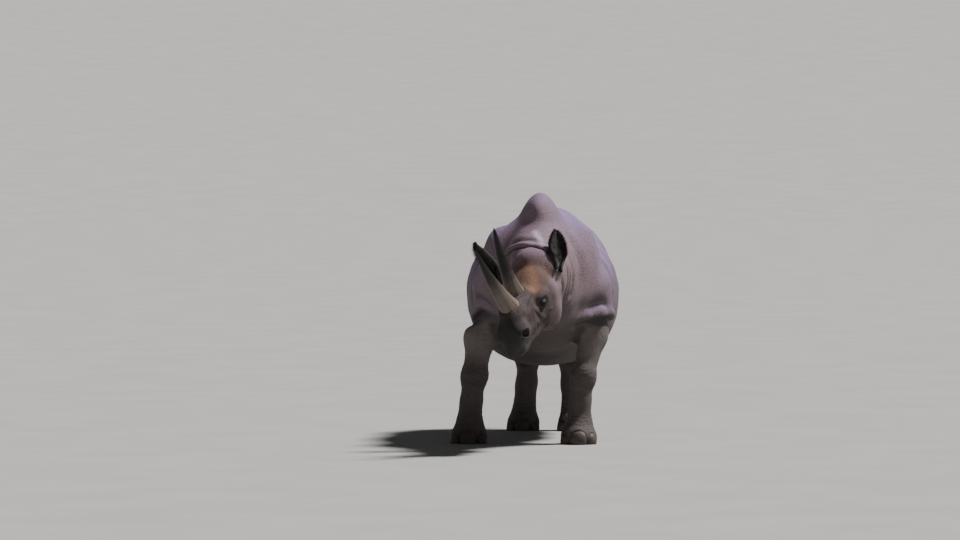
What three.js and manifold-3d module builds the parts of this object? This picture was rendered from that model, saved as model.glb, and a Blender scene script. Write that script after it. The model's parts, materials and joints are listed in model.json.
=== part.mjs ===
// A standing black rhinoceros at life size, in separate named solids that meet without overlap.
// Millimetres, +Z up. The animal faces -Y, its left side is +X, and its soles stand on Z = 0.
// The flesh is one smooth body, built from rounded forms that run into each other, and is then
// parted with thin plane cuts into head, neck, trunk, tail and legs.

import * as THREE from 'three';
import { mergeVertices } from 'three/addons/utils/BufferGeometryUtils.js';
import Module from 'manifold-3d';

const wasm = await Module();
wasm.setup();

// ---------------------------------------------------------------- driving dimensions

const WITHERS = 1560; // top of the shoulder hump
const CROUP = 1452; // top of the rump
const SADDLE = 1372; // lowest stretch of the back
const BELLY = 466; // ground clearance under the belly
const BARREL_WIDTH = 995;
const HUMP_WIDTH = 212;
const RUMP_Y = 1590; // back of the rump; the hump's top is at y = 0
const CHEST_Y = -440;

const HEAD_LENGTH = 735; // poll to tip of the upper lip
const HEAD_AT = [20, -640, 1068]; // middle of the head's joint with the neck
const HEAD_YAW = 20; // degrees to the animal's right
const HEAD_PITCH = 26; // degrees below level
const HEAD_ROLL = 9; // degrees, left ear up

// base is a radius; the smaller taper is, the fuller the middle of the horn
const FRONT_HORN = { length: 554, base: 65, lean: 31, curl: 21, taper: 0.9 };
const REAR_HORN = { length: 472, base: 60, lean: 18, curl: 37, taper: 0.71 };
const EAR_LENGTH = 262;
const EAR_WIDTH = 132;
const EAR_WALL = 13;
const EYE_RADIUS = 20;

const GAP = 0.4; // clear space in a cut between two solids
const DEG = Math.PI / 180;

const SKIN = { color: 0x8d8088, roughness: 0.82, metalness: 0 };
const FACE = { color: 0x93807c, roughness: 0.8, metalness: 0 };
const HORN = { color: 0x4a4038, roughness: 0.55, metalness: 0 };
const NAIL = { color: 0x5b5148, roughness: 0.6, metalness: 0 };
const EYE = { color: 0x1c120d, roughness: 0.12, metalness: 0 };

// ---------------------------------------------------------------- fields, negative inside

const vec = (a) => new THREE.Vector3(...a);

// An ellipsoid; turn is a pitch about X in degrees.
function ball(centre, radii, turn = 0) {
  const [rx, ry, rz] = radii;
  const c = Math.cos(turn * DEG);
  const s = Math.sin(turn * DEG);
  return (p) => {
    const x = p.x - centre[0];
    const dy = p.y - centre[1];
    const dz = p.z - centre[2];
    const y = c * dy + s * dz;
    const z = c * dz - s * dy;
    const near = Math.hypot(x / rx, y / ry, z / rz);
    const slope = Math.hypot(x / rx ** 2, y / ry ** 2, z / rz ** 2);
    return slope < 1e-9 ? -Math.min(rx, ry, rz) : (near * (near - 1)) / slope;
  };
}

// A limb between two joints, round in section, whose radius runs evenly from one to the other.
function limb(from, to, fromRadius, toRadius) {
  const a = vec(from);
  const along = vec(to).sub(a);
  const length2 = along.lengthSq();
  return (p) => {
    const px = p.x - a.x;
    const py = p.y - a.y;
    const pz = p.z - a.z;
    const t = THREE.MathUtils.clamp((px * along.x + py * along.y + pz * along.z) / length2, 0, 1);
    const off = Math.hypot(px - t * along.x, py - t * along.y, pz - t * along.z);
    return off - THREE.MathUtils.lerp(fromRadius, toRadius, t);
  };
}

// A row of limbs through joints, each [x, y, z, radius].
function chain(joints) {
  return joints.slice(1).map((to, i) => {
    const from = joints[i];
    return limb(from.slice(0, 3), to.slice(0, 3), from[3], to[3]);
  });
}

// Joins fields; soft is how far apart two surfaces start to run into each other.
function melt(fields, soft) {
  return (p) => {
    let joined = Infinity;
    for (const field of fields) {
      const d = field(p);
      const near = Math.max(soft - Math.abs(joined - d), 0) / soft;
      joined = Math.min(joined, d) - (Number.isFinite(near) ? (near * near * soft) / 4 : 0);
    }
    return joined;
  };
}

const mirrored = (make) => [-1, 1].map(make);

// ---------------------------------------------------------------- trunk, neck, tail and legs

function trunkField() {
  const ribTop = SADDLE;
  const ribBottom = BELLY + 22;
  const ribMiddle = (ribTop + ribBottom) / 2;
  const half = BARREL_WIDTH / 2;
  const forms = [
    ball([-6, 560, ribMiddle], [half - 12, 760, (ribTop - ribBottom) / 2]),
    ball([0, CHEST_Y + 400, 950], [335, 400, 375]),
    ball([0, 660, BELLY + 300], [half - 70, 520, 300]),
    ball([0, RUMP_Y - 455, 1000], [385, 455, 405]),
    ball([0, RUMP_Y - 500, CROUP - 185], [215, 400, 182]),
    ball([0, 30, WITHERS - 162], [HUMP_WIDTH / 2, 345, 160], -10),
    ball([0, -210, 760], [165, 235, 160]),
    limb([0, 200, SADDLE - 70], [0, 900, SADDLE - 60], 92, 104),
    ...mirrored((side) => ball([side * 255, -30, 1050 + side * 10], [122, 205, 300], 12)),
    ...mirrored((side) => ball([side * 245, 1130, 930], [165, 285, 340], -8)),
  ];
  return melt(forms, 120);
}

function neckField() {
  const [x, y, z] = HEAD_AT;
  return melt(
    [
      limb([0, -40, 1304], [x - 10, y + 20, z + 45], 134, 128),
      limb([0, -150, 1120], [x, y + 30, z - 10], 270, 158),
      limb([0, -200, 930], [x, y + 20, z - 95], 235, 118),
    ],
    110,
  );
}

function tailField() {
  const root = RUMP_Y - 80;
  return melt(
    chain([
      [0, root, 1270, 66],
      [0, root + 105, 1170, 46],
      [0, root + 150, 1010, 34],
      [0, root + 158, 820, 26],
      [0, root + 150, 690, 20],
      [0, root + 144, 640, 27],
      [0, root + 140, 585, 12],
    ]),
    30,
  );
}

// Joints of each leg from the body down; the foot's middle is [x, y]. The ham of a hind leg is the
// back of its thigh, from the rump to the hock.
const LEGS = {
  foreleg_left: {
    joints: [
      [290, -10, 960, 165],
      [336, 12, 805, 118],
      [331, -22, 675, 86],
      [270, -90, 425, 70],
      [254, -102, 270, 66],
      [248, -106, 150, 84],
    ],
    foot: [244, -124],
    footSize: [118, 134],
  },
  foreleg_right: {
    joints: [
      [-280, 10, 960, 150],
      [-306, 40, 825, 104],
      [-378, 14, 655, 100],
      [-412, -34, 425, 72],
      [-430, -44, 270, 67],
      [-440, -46, 150, 85],
    ],
    foot: [-444, -64],
    footSize: [118, 134],
  },
  hindleg_left: {
    joints: [
      [245, 1120, 920, 205],
      [282, 1010, 745, 150],
      [225, 1180, 600, 112],
      [150, 1345, 465, 78],
      [156, 1326, 300, 69],
      [166, 1290, 150, 82],
    ],
    ham: [
      [210, 1395, 880, 175],
      [204, 1420, 700, 112],
      [156, 1392, 520, 64],
    ],
    foot: [172, 1262],
    footSize: [110, 126],
  },
  hindleg_right: {
    joints: [
      [-245, 1120, 920, 205],
      [-278, 1020, 745, 150],
      [-215, 1215, 600, 112],
      [-130, 1392, 465, 78],
      [-138, 1374, 300, 69],
      [-150, 1340, 150, 82],
    ],
    ham: [
      [-210, 1400, 880, 175],
      [-196, 1440, 700, 112],
      [-136, 1438, 520, 64],
    ],
    foot: [-157, 1312],
    footSize: [110, 126],
  },
};

const FOOT_HEIGHT = 112;
const FOOT_MIDDLE = 38;

function legField({ joints, ham, foot, footSize }) {
  const forms = chain(joints);
  forms.push(ball([...foot, FOOT_MIDDLE], [...footSize, FOOT_HEIGHT]));
  const [x, y, z] = joints[3];
  if (ham) {
    // the heel bone behind the hock
    forms.push(...chain(ham), ball([x, y + 40, z + 16], [54, 56, 84], 12));
  } else {
    // the knee, a little wider than the bones above and below it
    forms.push(ball([x, y - 14, z - 18], [80, 74, 84]));
  }
  return melt(forms, 45);
}

// ---------------------------------------------------------------- head

const headFrame = (() => {
  const yaw = new THREE.Quaternion().setFromAxisAngle(vec([0, 0, 1]), -HEAD_YAW * DEG);
  const pitch = new THREE.Quaternion().setFromAxisAngle(vec([1, 0, 0]), HEAD_PITCH * DEG);
  const roll = new THREE.Quaternion().setFromAxisAngle(vec([0, 1, 0]), -HEAD_ROLL * DEG);
  const turn = roll.multiply(yaw).multiply(pitch);
  return new THREE.Matrix4().compose(vec(HEAD_AT), turn, vec([1, 1, 1]));
})();
const headFrameInverse = headFrame.clone().invert();

// In the head's own frame -Y runs from the poll to the lips, +X is left and +Z is the forehead side.
// onHead takes the distance forward from the poll, to the left, and above the middle line.
const onHead = (forward, left, up) => vec([left, -forward, up]).applyMatrix4(headFrame);
const inHead = (forward, left, up) => [left, -forward, up];

function headField() {
  const lip = HEAD_LENGTH;
  const forms = [
    ball(inHead(115, 0, 6), [148, 205, 142]), // braincase
    ball(inHead(30, 0, 112), [112, 88, 76]), // crest of the poll
    limb(inHead(150, 0, -6), inHead(440, 0, 12), 116, 100), // forehead and bridge
    limb(inHead(440, 0, 14), inHead(605, 0, 20), 96, 86), // nose
    ball(inHead(400, 0, 64), [88, 94, 50]), // pad of the rear horn
    ball(inHead(558, 0, 60), [84, 88, 56]), // pad of the front horn
    limb(inHead(165, 0, -135), inHead(600, 0, -124), 110, 58), // lower jaw
    ball(inHead(660, 0, -30), [88, 74, 80], -12), // muzzle
    ball(inHead(lip - 56, -6, -88), [60, 60, 58], -28), // upper lip
    ball(inHead(lip - 28, -20, -124), [31, 28, 44], -20), // its hooked tip, drawn to the right
    ball(inHead(630, 0, -150), [52, 66, 36]), // lower lip
    ...mirrored((side) => ball(inHead(238, side * 94, -26), [62, 172, 80])), // cheekbones
    ...mirrored((side) => ball(inHead(182, side * 68, -148), [68, 150, 114], 14)), // jowls
    ...mirrored((side) => limb(inHead(310, side * 62, -52), inHead(590, side * 40, -62), 66, 50)), // cheeks
    ...mirrored((side) => ball(inHead(336, side * 118, 40), [34, 64, 30], -8)), // brows
    ...mirrored((side) => ball(inHead(646, side * 58, -20), [42, 56, 50], -20)), // nostril wings
    ball(inHead(62, 126, 60), [56, 60, 56]), // root of the left ear
    ball(inHead(86, -142, 64), [76, 60, 54]), // root of the right ear, which is held out
  ];
  const whole = melt(forms, 44);
  const nostrils = mirrored((side) => ball(inHead(672, side * 88, -28), [26, 36, 18], -40));
  const local = new THREE.Vector3();
  return (p) => {
    local.copy(p).applyMatrix4(headFrameInverse);
    return Math.max(whole(local), ...nostrils.map((hollow) => -hollow(local)));
  };
}

// ---------------------------------------------------------------- the whole flesh

const flesh = (() => {
  const body = melt([trunkField(), neckField()], 130);
  const legs = Object.values(LEGS).map(legField);
  const standing = melt([body, ...legs], 70);
  return melt([standing, headField()], 60);
})();

// ---------------------------------------------------------------- solids

function solidOf(geometry) {
  const bare = geometry.index ? geometry.toNonIndexed() : geometry.clone();
  bare.deleteAttribute('normal');
  bare.deleteAttribute('uv');
  const merged = mergeVertices(bare, 1e-3);
  return new wasm.Manifold(
    new wasm.Mesh({
      numProp: 3,
      vertProperties: merged.attributes.position.array,
      triVerts: new Uint32Array(merged.index.array),
    }),
  );
}

// The faces of a solid, with corners closer than weld joined and the faces that closes dropped. A
// wider weld is tried until each edge joins just two faces.
function geometryOf(solid) {
  const mesh = solid.getMesh();
  const corners = new Float32Array(mesh.triVerts.length * 3);
  mesh.triVerts.forEach((v, n) => {
    corners.set(mesh.vertProperties.subarray(v * mesh.numProp, v * mesh.numProp + 3), n * 3);
  });
  const loose = new THREE.BufferGeometry();
  loose.setAttribute('position', new THREE.BufferAttribute(corners, 3));
  for (const weld of [0.02, 0.05, 0.1, 0.2, 0.4]) {
    const welded = mergeVertices(loose, weld);
    const kept = [];
    for (let n = 0; n < welded.index.count; n += 3) {
      const [a, b, c] = welded.index.array.subarray(n, n + 3);
      if (a !== b && b !== c && c !== a) kept.push(a, b, c);
    }
    if (!closed(kept)) continue;
    welded.setIndex(kept);
    const flat = welded.toNonIndexed();
    flat.computeVertexNormals();
    return flat;
  }
  throw new Error('a solid has an open or a branching edge');
}

// True where each edge is used once in each direction.
function closed(faces) {
  const edges = new Set();
  for (let n = 0; n < faces.length; n += 3) {
    for (let k = 0; k < 3; k++) {
      const edge = `${faces[n + k]},${faces[n + ((k + 1) % 3)]}`;
      if (edges.has(edge)) return false;
      edges.add(edge);
    }
  }
  return [...edges].every((edge) => edges.has(edge.split(',').reverse().join()));
}

// Evenly spaced places along an axis, stretch by stretch: [end, spacing] after the first end.
function places(first, ...stretches) {
  const all = [first];
  for (const [end, spacing] of stretches) {
    const start = all[all.length - 1];
    const count = Math.ceil((end - start) / spacing);
    for (let n = 1; n <= count; n++) all.push(start + ((end - start) * n) / count);
  }
  return all;
}

// The closed surface of a field on a lattice, by surface nets: one point in each cell that the
// surface passes through, moved onto the surface, and one four-sided face for each crossed edge.
function surface(field, { lattice, frame = new THREE.Matrix4() }) {
  const count = lattice.map((axis) => axis.length);
  const index = (i, j, k) => (k * count[1] + j) * count[0] + i;
  const along = (axis, n) => {
    const whole = Math.min(Math.floor(n), axis.length - 2);
    return THREE.MathUtils.lerp(axis[whole], axis[whole + 1], n - whole);
  };
  const place = (...at) => vec(at.map((n, k) => along(lattice[k], n))).applyMatrix4(frame);
  const spacing = (n, k) => lattice[k][n + 1] - lattice[k][n];

  const value = new Float32Array(count[0] * count[1] * count[2]);
  for (let k = 0; k < count[2]; k++) {
    for (let j = 0; j < count[1]; j++) {
      for (let i = 0; i < count[0]; i++) {
        const edge = [i, j, k].some((n, axis) => n === 0 || n === count[axis] - 1);
        const d = field(place(i, j, k));
        value[index(i, j, k)] = edge ? Math.max(d, 20) : d;
      }
    }
  }
  while (fillCrossings(value, count, index));

  const corners = [0, 1, 2, 3, 4, 5, 6, 7].map((n) => [n & 1, (n >> 1) & 1, n >> 2]);
  const cellPoint = new Map();
  const points = [];
  for (let k = 0; k < count[2] - 1; k++) {
    for (let j = 0; j < count[1] - 1; j++) {
      for (let i = 0; i < count[0] - 1; i++) {
        const v = corners.map(([a, b, c]) => value[index(i + a, j + b, k + c)]);
        const sum = [0, 0, 0];
        let crossings = 0;
        for (let n = 0; n < 8; n++) {
          for (let axis = 0; axis < 3; axis++) {
            const m = n | (1 << axis);
            if (m === n || v[n] < 0 === v[m] < 0) continue;
            const t = v[n] / (v[n] - v[m]);
            corners[n].forEach((c, a) => (sum[a] += a === axis ? t : c));
            crossings++;
          }
        }
        if (!crossings) continue;
        cellPoint.set(index(i, j, k), points.length);
        const [a, b, c] = sum.map((total) => total / crossings);
        const reach = Math.min(...[i, j, k].map(spacing)) * 0.6;
        points.push(settle(field, place(i + a, j + b, k + c), reach));
      }
    }
  }

  const faces = [];
  for (let k = 0; k < count[2] - 1; k++) {
    for (let j = 0; j < count[1] - 1; j++) {
      for (let i = 0; i < count[0] - 1; i++) {
        const here = value[index(i, j, k)] < 0;
        for (let axis = 0; axis < 3; axis++) {
          const next = [i, j, k];
          next[axis]++;
          if (here === value[index(...next)] < 0) continue;
          const [u, w] = [(axis + 1) % 3, (axis + 2) % 3];
          const ring = [[0, 0], [1, 0], [1, 1], [0, 1]].map(([du, dw]) => {
            const at = [i, j, k];
            at[u] -= du;
            at[w] -= dw;
            return cellPoint.get(index(...at));
          });
          if (!here) ring.reverse();
          faces.push(...twoTriangles(ring, points));
        }
      }
    }
  }
  const geometry = new THREE.BufferGeometry().setFromPoints(points);
  geometry.setIndex(faces);
  return solidOf(geometry);
}

// Where the four corners of a cell's side lie in and out by turns, two sheets would share an edge:
// the outer corner nearest the surface is taken in. True if any corner changed.
function fillCrossings(value, count, index) {
  let changed = false;
  for (let k = 0; k < count[2] - 1; k++) {
    for (let j = 0; j < count[1] - 1; j++) {
      for (let i = 0; i < count[0] - 1; i++) {
        for (let axis = 0; axis < 3; axis++) {
          const corner = (du, dw) => {
            const at = [i, j, k];
            at[(axis + 1) % 3] += du;
            at[(axis + 2) % 3] += dw;
            return index(...at);
          };
          const ring = [corner(0, 0), corner(1, 0), corner(1, 1), corner(0, 1)];
          const inside = ring.map((n) => value[n] < 0);
          if (inside[0] !== inside[2] || inside[1] !== inside[3] || inside[0] === inside[1]) continue;
          const [a, b] = ring.filter((n) => value[n] >= 0);
          value[value[a] < value[b] ? a : b] = -1e-3;
          changed = true;
        }
      }
    }
  }
  return changed;
}

// Moves a point along the field's slope until it lies on the surface, by at most reach.
function settle(field, start, reach) {
  const p = start.clone();
  const h = 0.5;
  for (let round = 0; round < 4; round++) {
    const d = field(p);
    const slope = vec([
      field(vec([p.x + h, p.y, p.z])) - field(vec([p.x - h, p.y, p.z])),
      field(vec([p.x, p.y + h, p.z])) - field(vec([p.x, p.y - h, p.z])),
      field(vec([p.x, p.y, p.z + h])) - field(vec([p.x, p.y, p.z - h])),
    ]).divideScalar(2 * h);
    p.addScaledVector(slope, -d / Math.max(slope.lengthSq(), 0.1));
  }
  return p.sub(start).clampLength(0, reach).add(start);
}

// Splits a four-sided face along its shorter diagonal.
function twoTriangles([a, b, c, d], points) {
  const shorter = points[a].distanceTo(points[c]) < points[b].distanceTo(points[d]);
  return shorter ? [a, b, c, a, c, d] : [a, b, d, b, c, d];
}

// A box as a cutter, in a frame; grow widens it on every side.
function block(low, high, frame = new THREE.Matrix4(), grow = 0) {
  const size = high.map((h, k) => h - low[k] + 2 * grow);
  const middle = high.map((h, k) => (h + low[k]) / 2);
  const box = new THREE.BoxGeometry(...size);
  box.translate(...middle);
  box.applyMatrix4(frame);
  return solidOf(box);
}

// The largest body of a solid: a thin cut can leave specks behind.
function largest(solid) {
  return solid.decompose().reduce((best, body) => (body.volume() > best.volume() ? body : best));
}

// ---------------------------------------------------------------- ears

// Each ear: its root on the head, where its tip points and where its mouth faces.
const EARS = {
  ear_left: { root: onHead(59, 146, 67), tip: [-0.01, 0.38, 0.6], mouth: [0.43, -1, -0.45] },
  ear_right: { root: onHead(94, -203, 76), tip: [-0.65, -0.14, 0.79], mouth: [-0.95, -1, -1.3] },
};
const EAR_BURIED = 58; // length of the ear's stem inside the head
const EAR_STEM = 36; // radius of the stem

function earFrame({ root, tip, mouth }) {
  const up = vec(tip).normalize();
  const across = new THREE.Vector3().crossVectors(vec(mouth), up).normalize();
  const front = new THREE.Vector3().crossVectors(up, across);
  return new THREE.Matrix4().makeBasis(across, front, up).setPosition(root);
}

// Half width, depth of the cup and half opening angle at u, from the buried stem 0 to the tip 1.
function earSection(u) {
  const blade = THREE.MathUtils.smoothstep(u, 0.12, 0.5);
  const taper = Math.sqrt(Math.max(1 - THREE.MathUtils.smoothstep(u, 0.43, 1.06) ** 1.6, 0));
  return {
    half: THREE.MathUtils.lerp(EAR_STEM, EAR_WIDTH / 2, blade) * taper,
    depth: THREE.MathUtils.lerp(EAR_STEM, 40, blade) * (0.25 + 0.75 * taper),
    open: THREE.MathUtils.lerp(162, 88, THREE.MathUtils.smoothstep(u, 0.1, 0.62)) * DEG,
  };
}

// A leaf rolled into a cup: an outer and an inner skin that meet along the rim.
function earShell(frame) {
  const rows = 7;
  const columns = 6;
  const skins = [0, EAR_WALL].map((inward) =>
    Array.from({ length: rows + 1 }, (_, i) => {
      const u = i / rows;
      const { half, depth, open } = earSection(u);
      const wall = inward * (1 - 0.35 * u);
      return Array.from({ length: columns + 1 }, (_, j) => {
        const turn = (2 * (j / columns) - 1) * open;
        const widest = Math.sin(Math.min(open, Math.PI / 2));
        return vec([
          ((half - wall) * Math.sin(turn)) / widest,
          (depth - wall) * (0.35 - Math.cos(turn)),
          u * (EAR_LENGTH + EAR_BURIED) - EAR_BURIED,
        ]).applyMatrix4(frame);
      });
    }),
  );
  const points = skins.flat(2);
  const at = (skin, i, j) => (skin * (rows + 1) + i) * (columns + 1) + j;
  const faces = [];
  const quad = (...ring) => faces.push(...twoTriangles(ring, points));
  for (let i = 0; i < rows; i++) {
    for (let j = 0; j < columns; j++) {
      quad(at(0, i, j), at(0, i, j + 1), at(0, i + 1, j + 1), at(0, i + 1, j));
      quad(at(1, i, j + 1), at(1, i, j), at(1, i + 1, j), at(1, i + 1, j + 1));
    }
    quad(at(0, i, 0), at(0, i + 1, 0), at(1, i + 1, 0), at(1, i, 0));
    quad(at(0, i + 1, columns), at(0, i, columns), at(1, i, columns), at(1, i + 1, columns));
  }
  for (let j = 0; j < columns; j++) {
    quad(at(0, 0, j + 1), at(0, 0, j), at(1, 0, j), at(1, 0, j + 1));
    quad(at(0, rows, j), at(0, rows, j + 1), at(1, rows, j + 1), at(1, rows, j));
  }
  const geometry = new THREE.BufferGeometry().setFromPoints(points);
  geometry.setIndex(faces);
  return solidOf(geometry);
}

// ---------------------------------------------------------------- horns, eyes and nails

const HORN_SEAT = 34; // depth of a horn's foot in the head

// A lathed cone, bent fore and aft and a little deeper than it is wide. Its foot stands forward,
// to the side and up, in the head.
function horn({ length, base, lean, curl, taper }, [forward, side, up], grow = 0) {
  const rings = 10;
  const total = length + HORN_SEAT;
  const profile = [[0, -grow]];
  for (let i = 0; i <= rings; i++) {
    const t = i / rings;
    const radius = base * (0.06 + 0.94 * (1 - t) ** taper + 0.12 * (1 - t) ** 12);
    profile.push([radius + grow, i === 0 ? -grow : t * total]);
  }
  profile.push([0, total + 4 + grow]);
  const cone = new THREE.LatheGeometry(
    profile.map(([r, z]) => new THREE.Vector2(r, z)),
    10,
  );
  const position = cone.attributes.position;
  for (let i = 0; i < position.count; i++) {
    const across = position.getX(i) * 0.92;
    const fore = position.getZ(i) * 1.08;
    const along = position.getY(i);
    const bend = (curl * DEG) / total;
    const turn = lean * DEG - bend * along;
    const start = lean * DEG;
    const rise = (Math.sin(start) - Math.sin(turn)) / bend;
    const reach = (Math.cos(turn) - Math.cos(start)) / bend;
    const place = onHead(
      forward + reach - HORN_SEAT * Math.sin(start) + fore * Math.cos(turn),
      side + across,
      up + rise - HORN_SEAT * Math.cos(start) - fore * Math.sin(turn),
    );
    position.setXYZ(i, place.x, place.y, place.z);
  }
  return solidOf(cone);
}

const FRONT_HORN_AT = [561, -3, 102];
const REAR_HORN_AT = [404, -6, 103];
const EYE_AT = [374, 130, -2]; // forward, to the side and up, in the head

function eye(side, grow = 0) {
  const [forward, out, up] = EYE_AT;
  const sphere = new THREE.SphereGeometry(EYE_RADIUS + grow, 9, 6);
  sphere.translate(...onHead(forward, side * out, up).toArray());
  return solidOf(sphere);
}

const NAIL_SIZES = [
  { angle: -52, half: 40, tall: 44 },
  { angle: 0, half: 52, tall: 54 },
  { angle: 52, half: 40, tall: 44 },
];
const NAIL_DEPTH = 26;

// One blunt nail on the front of a foot, angle degrees round from straight ahead.
function nail({ foot, footSize }, { angle, half, tall }, grow = 0) {
  const turn = angle * DEG;
  const ball = new THREE.SphereGeometry(1, 7, 4);
  ball.scale(half + grow, NAIL_DEPTH + grow, tall + grow);
  ball.rotateX(-14 * DEG);
  ball.rotateZ(turn);
  ball.translate(
    foot[0] + Math.sin(turn) * (footSize[0] - 15),
    foot[1] - Math.cos(turn) * (footSize[1] - 15),
    tall * 0.62,
  );
  return solidOf(ball);
}

// ---------------------------------------------------------------- cuts

// A frame at a point, turned in degrees about X, Y and Z in turn.
function frameAt(at, [x, y, z]) {
  const turn = new THREE.Quaternion().setFromEuler(new THREE.Euler(x * DEG, y * DEG, z * DEG));
  return new THREE.Matrix4().compose(vec(at), turn, vec([1, 1, 1]));
}

// The room of each part, as a box in a frame of its own. A leg's room ends above in a plane that
// rises outwards from the armpit or groin, and stays on its own side of the middle.
const legRoom = (side, y, from, to) => ({
  frame: frameAt([side * 290, y, 745], [0, side * -52, 0]),
  low: [-1100, from, -1100],
  high: [1100, to, 0],
  half: side,
});
const ROOMS = {
  head: { frame: headFrame, low: [-360, -860, -440], high: [360, 34, 400] },
  neck: { frame: frameAt([0, -270, 1120], [-17, 0, 0]), low: [-480, -900, -520], high: [480, 0, 520] },
  foreleg_left: legRoom(1, 0, -420, 185),
  foreleg_right: legRoom(-1, 0, -420, 205),
  hindleg_left: legRoom(1, 1300, -430, 420),
  hindleg_right: legRoom(-1, 1300, -430, 420),
  tail: { frame: frameAt([0, RUMP_Y - 55, 1252], [-40, 0, 0]), low: [-120, 0, -105], high: [120, 300, 130] },
};
// The tail hangs clear of the rump, so its room goes on straight down.
const TAIL_HANGS = [[-120, RUMP_Y + 12, 500], [120, RUMP_Y + 400, 1225]];

for (const [name, ear] of Object.entries(EARS)) {
  ROOMS[name] = { frame: earFrame(ear), low: [-78, -70, 8], high: [78, 70, EAR_LENGTH + 40] };
}

function room(name, grow = 0) {
  const { low, high, frame, half } = ROOMS[name];
  const box = block(low, high, frame, grow);
  if (name === 'tail') return box.add(block(...TAIL_HANGS, undefined, grow));
  if (!half) return box;
  const ends = [half * (GAP / 2 - grow), half * 1500].sort((a, b) => a - b);
  return box.intersect(block([ends[0], -3000, -200], [ends[1], 3000, 2000]));
}

// Where the surfaces are sampled, and how finely. Trunk, neck and legs share one lattice, so that
// they meet in the same faces.
const BODY_LATTICE = {
  lattice: [
    places(-640, [640, 72]),
    places(-860, [-300, 100], [90, 66], [1010, 185], [1590, 68], [1680, 90]),
    places(-80, [560, 80], [1660, 106]),
  ],
};
const HEAD_LATTICE = {
  frame: headFrame,
  lattice: [places(-252, [252, 42]), places(-820, [-560, 40], [110, 52]), places(-352, [262, 44])],
};
const TAIL_LATTICE = {
  lattice: [places(-130, [130, 44]), places(1440, [1820, 40]), places(540, [1100, 90], [1370, 46])],
};
const aboveGround = block([-2000, -3000, 0], [2000, 3000, 3000]);

// What is cut out of each part: the rooms of the parts that come before it.
const EARLIER = {
  head: ['ear_left', 'ear_right'],
  neck: ['head', 'ear_left', 'ear_right'],
  foreleg_left: ['neck'],
  foreleg_right: ['neck'],
  hindleg_left: ['tail'],
  hindleg_right: ['tail'],
  tail: [],
};
EARLIER.trunk = Object.keys(ROOMS);

// ---------------------------------------------------------------- parts

const parts = {};

const body = surface(flesh, BODY_LATTICE);
const earShells = Object.values(EARS).map((ear) => earShell(earFrame(ear)));
const head = earShells.reduce((sum, shell) => sum.add(shell), surface(flesh, HEAD_LATTICE));
const tail = surface(melt([flesh, tailField()], 40), TAIL_LATTICE);

for (const [name, earlier] of Object.entries(EARLIER)) {
  let solid = { head, tail }[name] ?? body;
  if (ROOMS[name]) solid = solid.intersect(room(name));
  for (const other of earlier) solid = solid.subtract(room(other, GAP));
  parts[name] = { solid: solid.intersect(aboveGround), finish: name === 'head' ? FACE : SKIN };
}
for (const name of Object.keys(EARS)) {
  parts[name] = { solid: head.intersect(room(name)), finish: FACE };
}

function inset(host, name, make, finish) {
  parts[host].solid = parts[host].solid.subtract(make(GAP));
  parts[name] = { solid: make(0), finish };
}
inset('head', 'horn_front', (grow) => horn(FRONT_HORN, FRONT_HORN_AT, grow), HORN);
inset('head', 'horn_rear', (grow) => horn(REAR_HORN, REAR_HORN_AT, grow), HORN);
inset('head', 'eye_left', (grow) => eye(1, grow), EYE);
inset('head', 'eye_right', (grow) => eye(-1, grow), EYE);
for (const [legName, leg] of Object.entries(LEGS)) {
  const side = legName.endsWith('left') ? 'left' : 'right';
  const end = legName.startsWith('fore') ? 'fore' : 'hind';
  NAIL_SIZES.forEach((size, i) => {
    const make = (grow) => nail(leg, size, grow).intersect(aboveGround);
    inset(legName, `nail_${end}_${side}_${i + 1}`, make, NAIL);
  });
}

// ---------------------------------------------------------------- the animal

const rhino = new THREE.Group();
const middle = new THREE.Box3();
for (const [name, { solid, finish }] of Object.entries(parts)) {
  const mesh = new THREE.Mesh(geometryOf(largest(solid)), new THREE.MeshStandardMaterial(finish));
  mesh.name = name;
  rhino.add(mesh);
  middle.expandByObject(mesh);
}
// The origin is on the ground, under the middle of the whole animal.
const centre = middle.getCenter(new THREE.Vector3());
rhino.position.set(-centre.x, -centre.y, 0);

export default rhino;
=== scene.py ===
"""The looks of a life-size black rhinoceros figure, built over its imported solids.

One skin stands for all the nodes of flesh. It is remeshed from copies of them, drawn onto the smooth
form that they were cut from, and then sculpted with the folds and wrinkles of the hide. Horns, eyes
and nails are pieces of their own, and so is the hair on the ears, the eyelids and the tail.
"""

import json
import math

import bpy
import numpy as np
from bpy.props import FloatProperty, FloatVectorProperty, PointerProperty
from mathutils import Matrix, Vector

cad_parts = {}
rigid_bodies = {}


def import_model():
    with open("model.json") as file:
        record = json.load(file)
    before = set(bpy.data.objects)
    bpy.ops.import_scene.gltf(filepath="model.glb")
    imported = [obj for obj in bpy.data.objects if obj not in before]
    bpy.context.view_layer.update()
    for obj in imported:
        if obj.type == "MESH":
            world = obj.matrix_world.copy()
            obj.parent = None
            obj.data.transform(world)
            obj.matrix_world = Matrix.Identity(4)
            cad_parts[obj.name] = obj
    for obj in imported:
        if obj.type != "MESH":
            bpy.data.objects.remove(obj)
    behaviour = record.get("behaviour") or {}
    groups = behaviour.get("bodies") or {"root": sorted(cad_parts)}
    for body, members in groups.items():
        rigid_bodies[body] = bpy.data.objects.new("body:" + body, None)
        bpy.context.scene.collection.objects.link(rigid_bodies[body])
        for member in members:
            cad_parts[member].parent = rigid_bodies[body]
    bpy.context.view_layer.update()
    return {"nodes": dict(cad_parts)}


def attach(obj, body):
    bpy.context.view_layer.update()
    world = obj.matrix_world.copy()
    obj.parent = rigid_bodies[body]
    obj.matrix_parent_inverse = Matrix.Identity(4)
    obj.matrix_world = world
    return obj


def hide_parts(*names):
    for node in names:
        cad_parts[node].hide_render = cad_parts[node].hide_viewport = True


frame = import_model()

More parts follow.
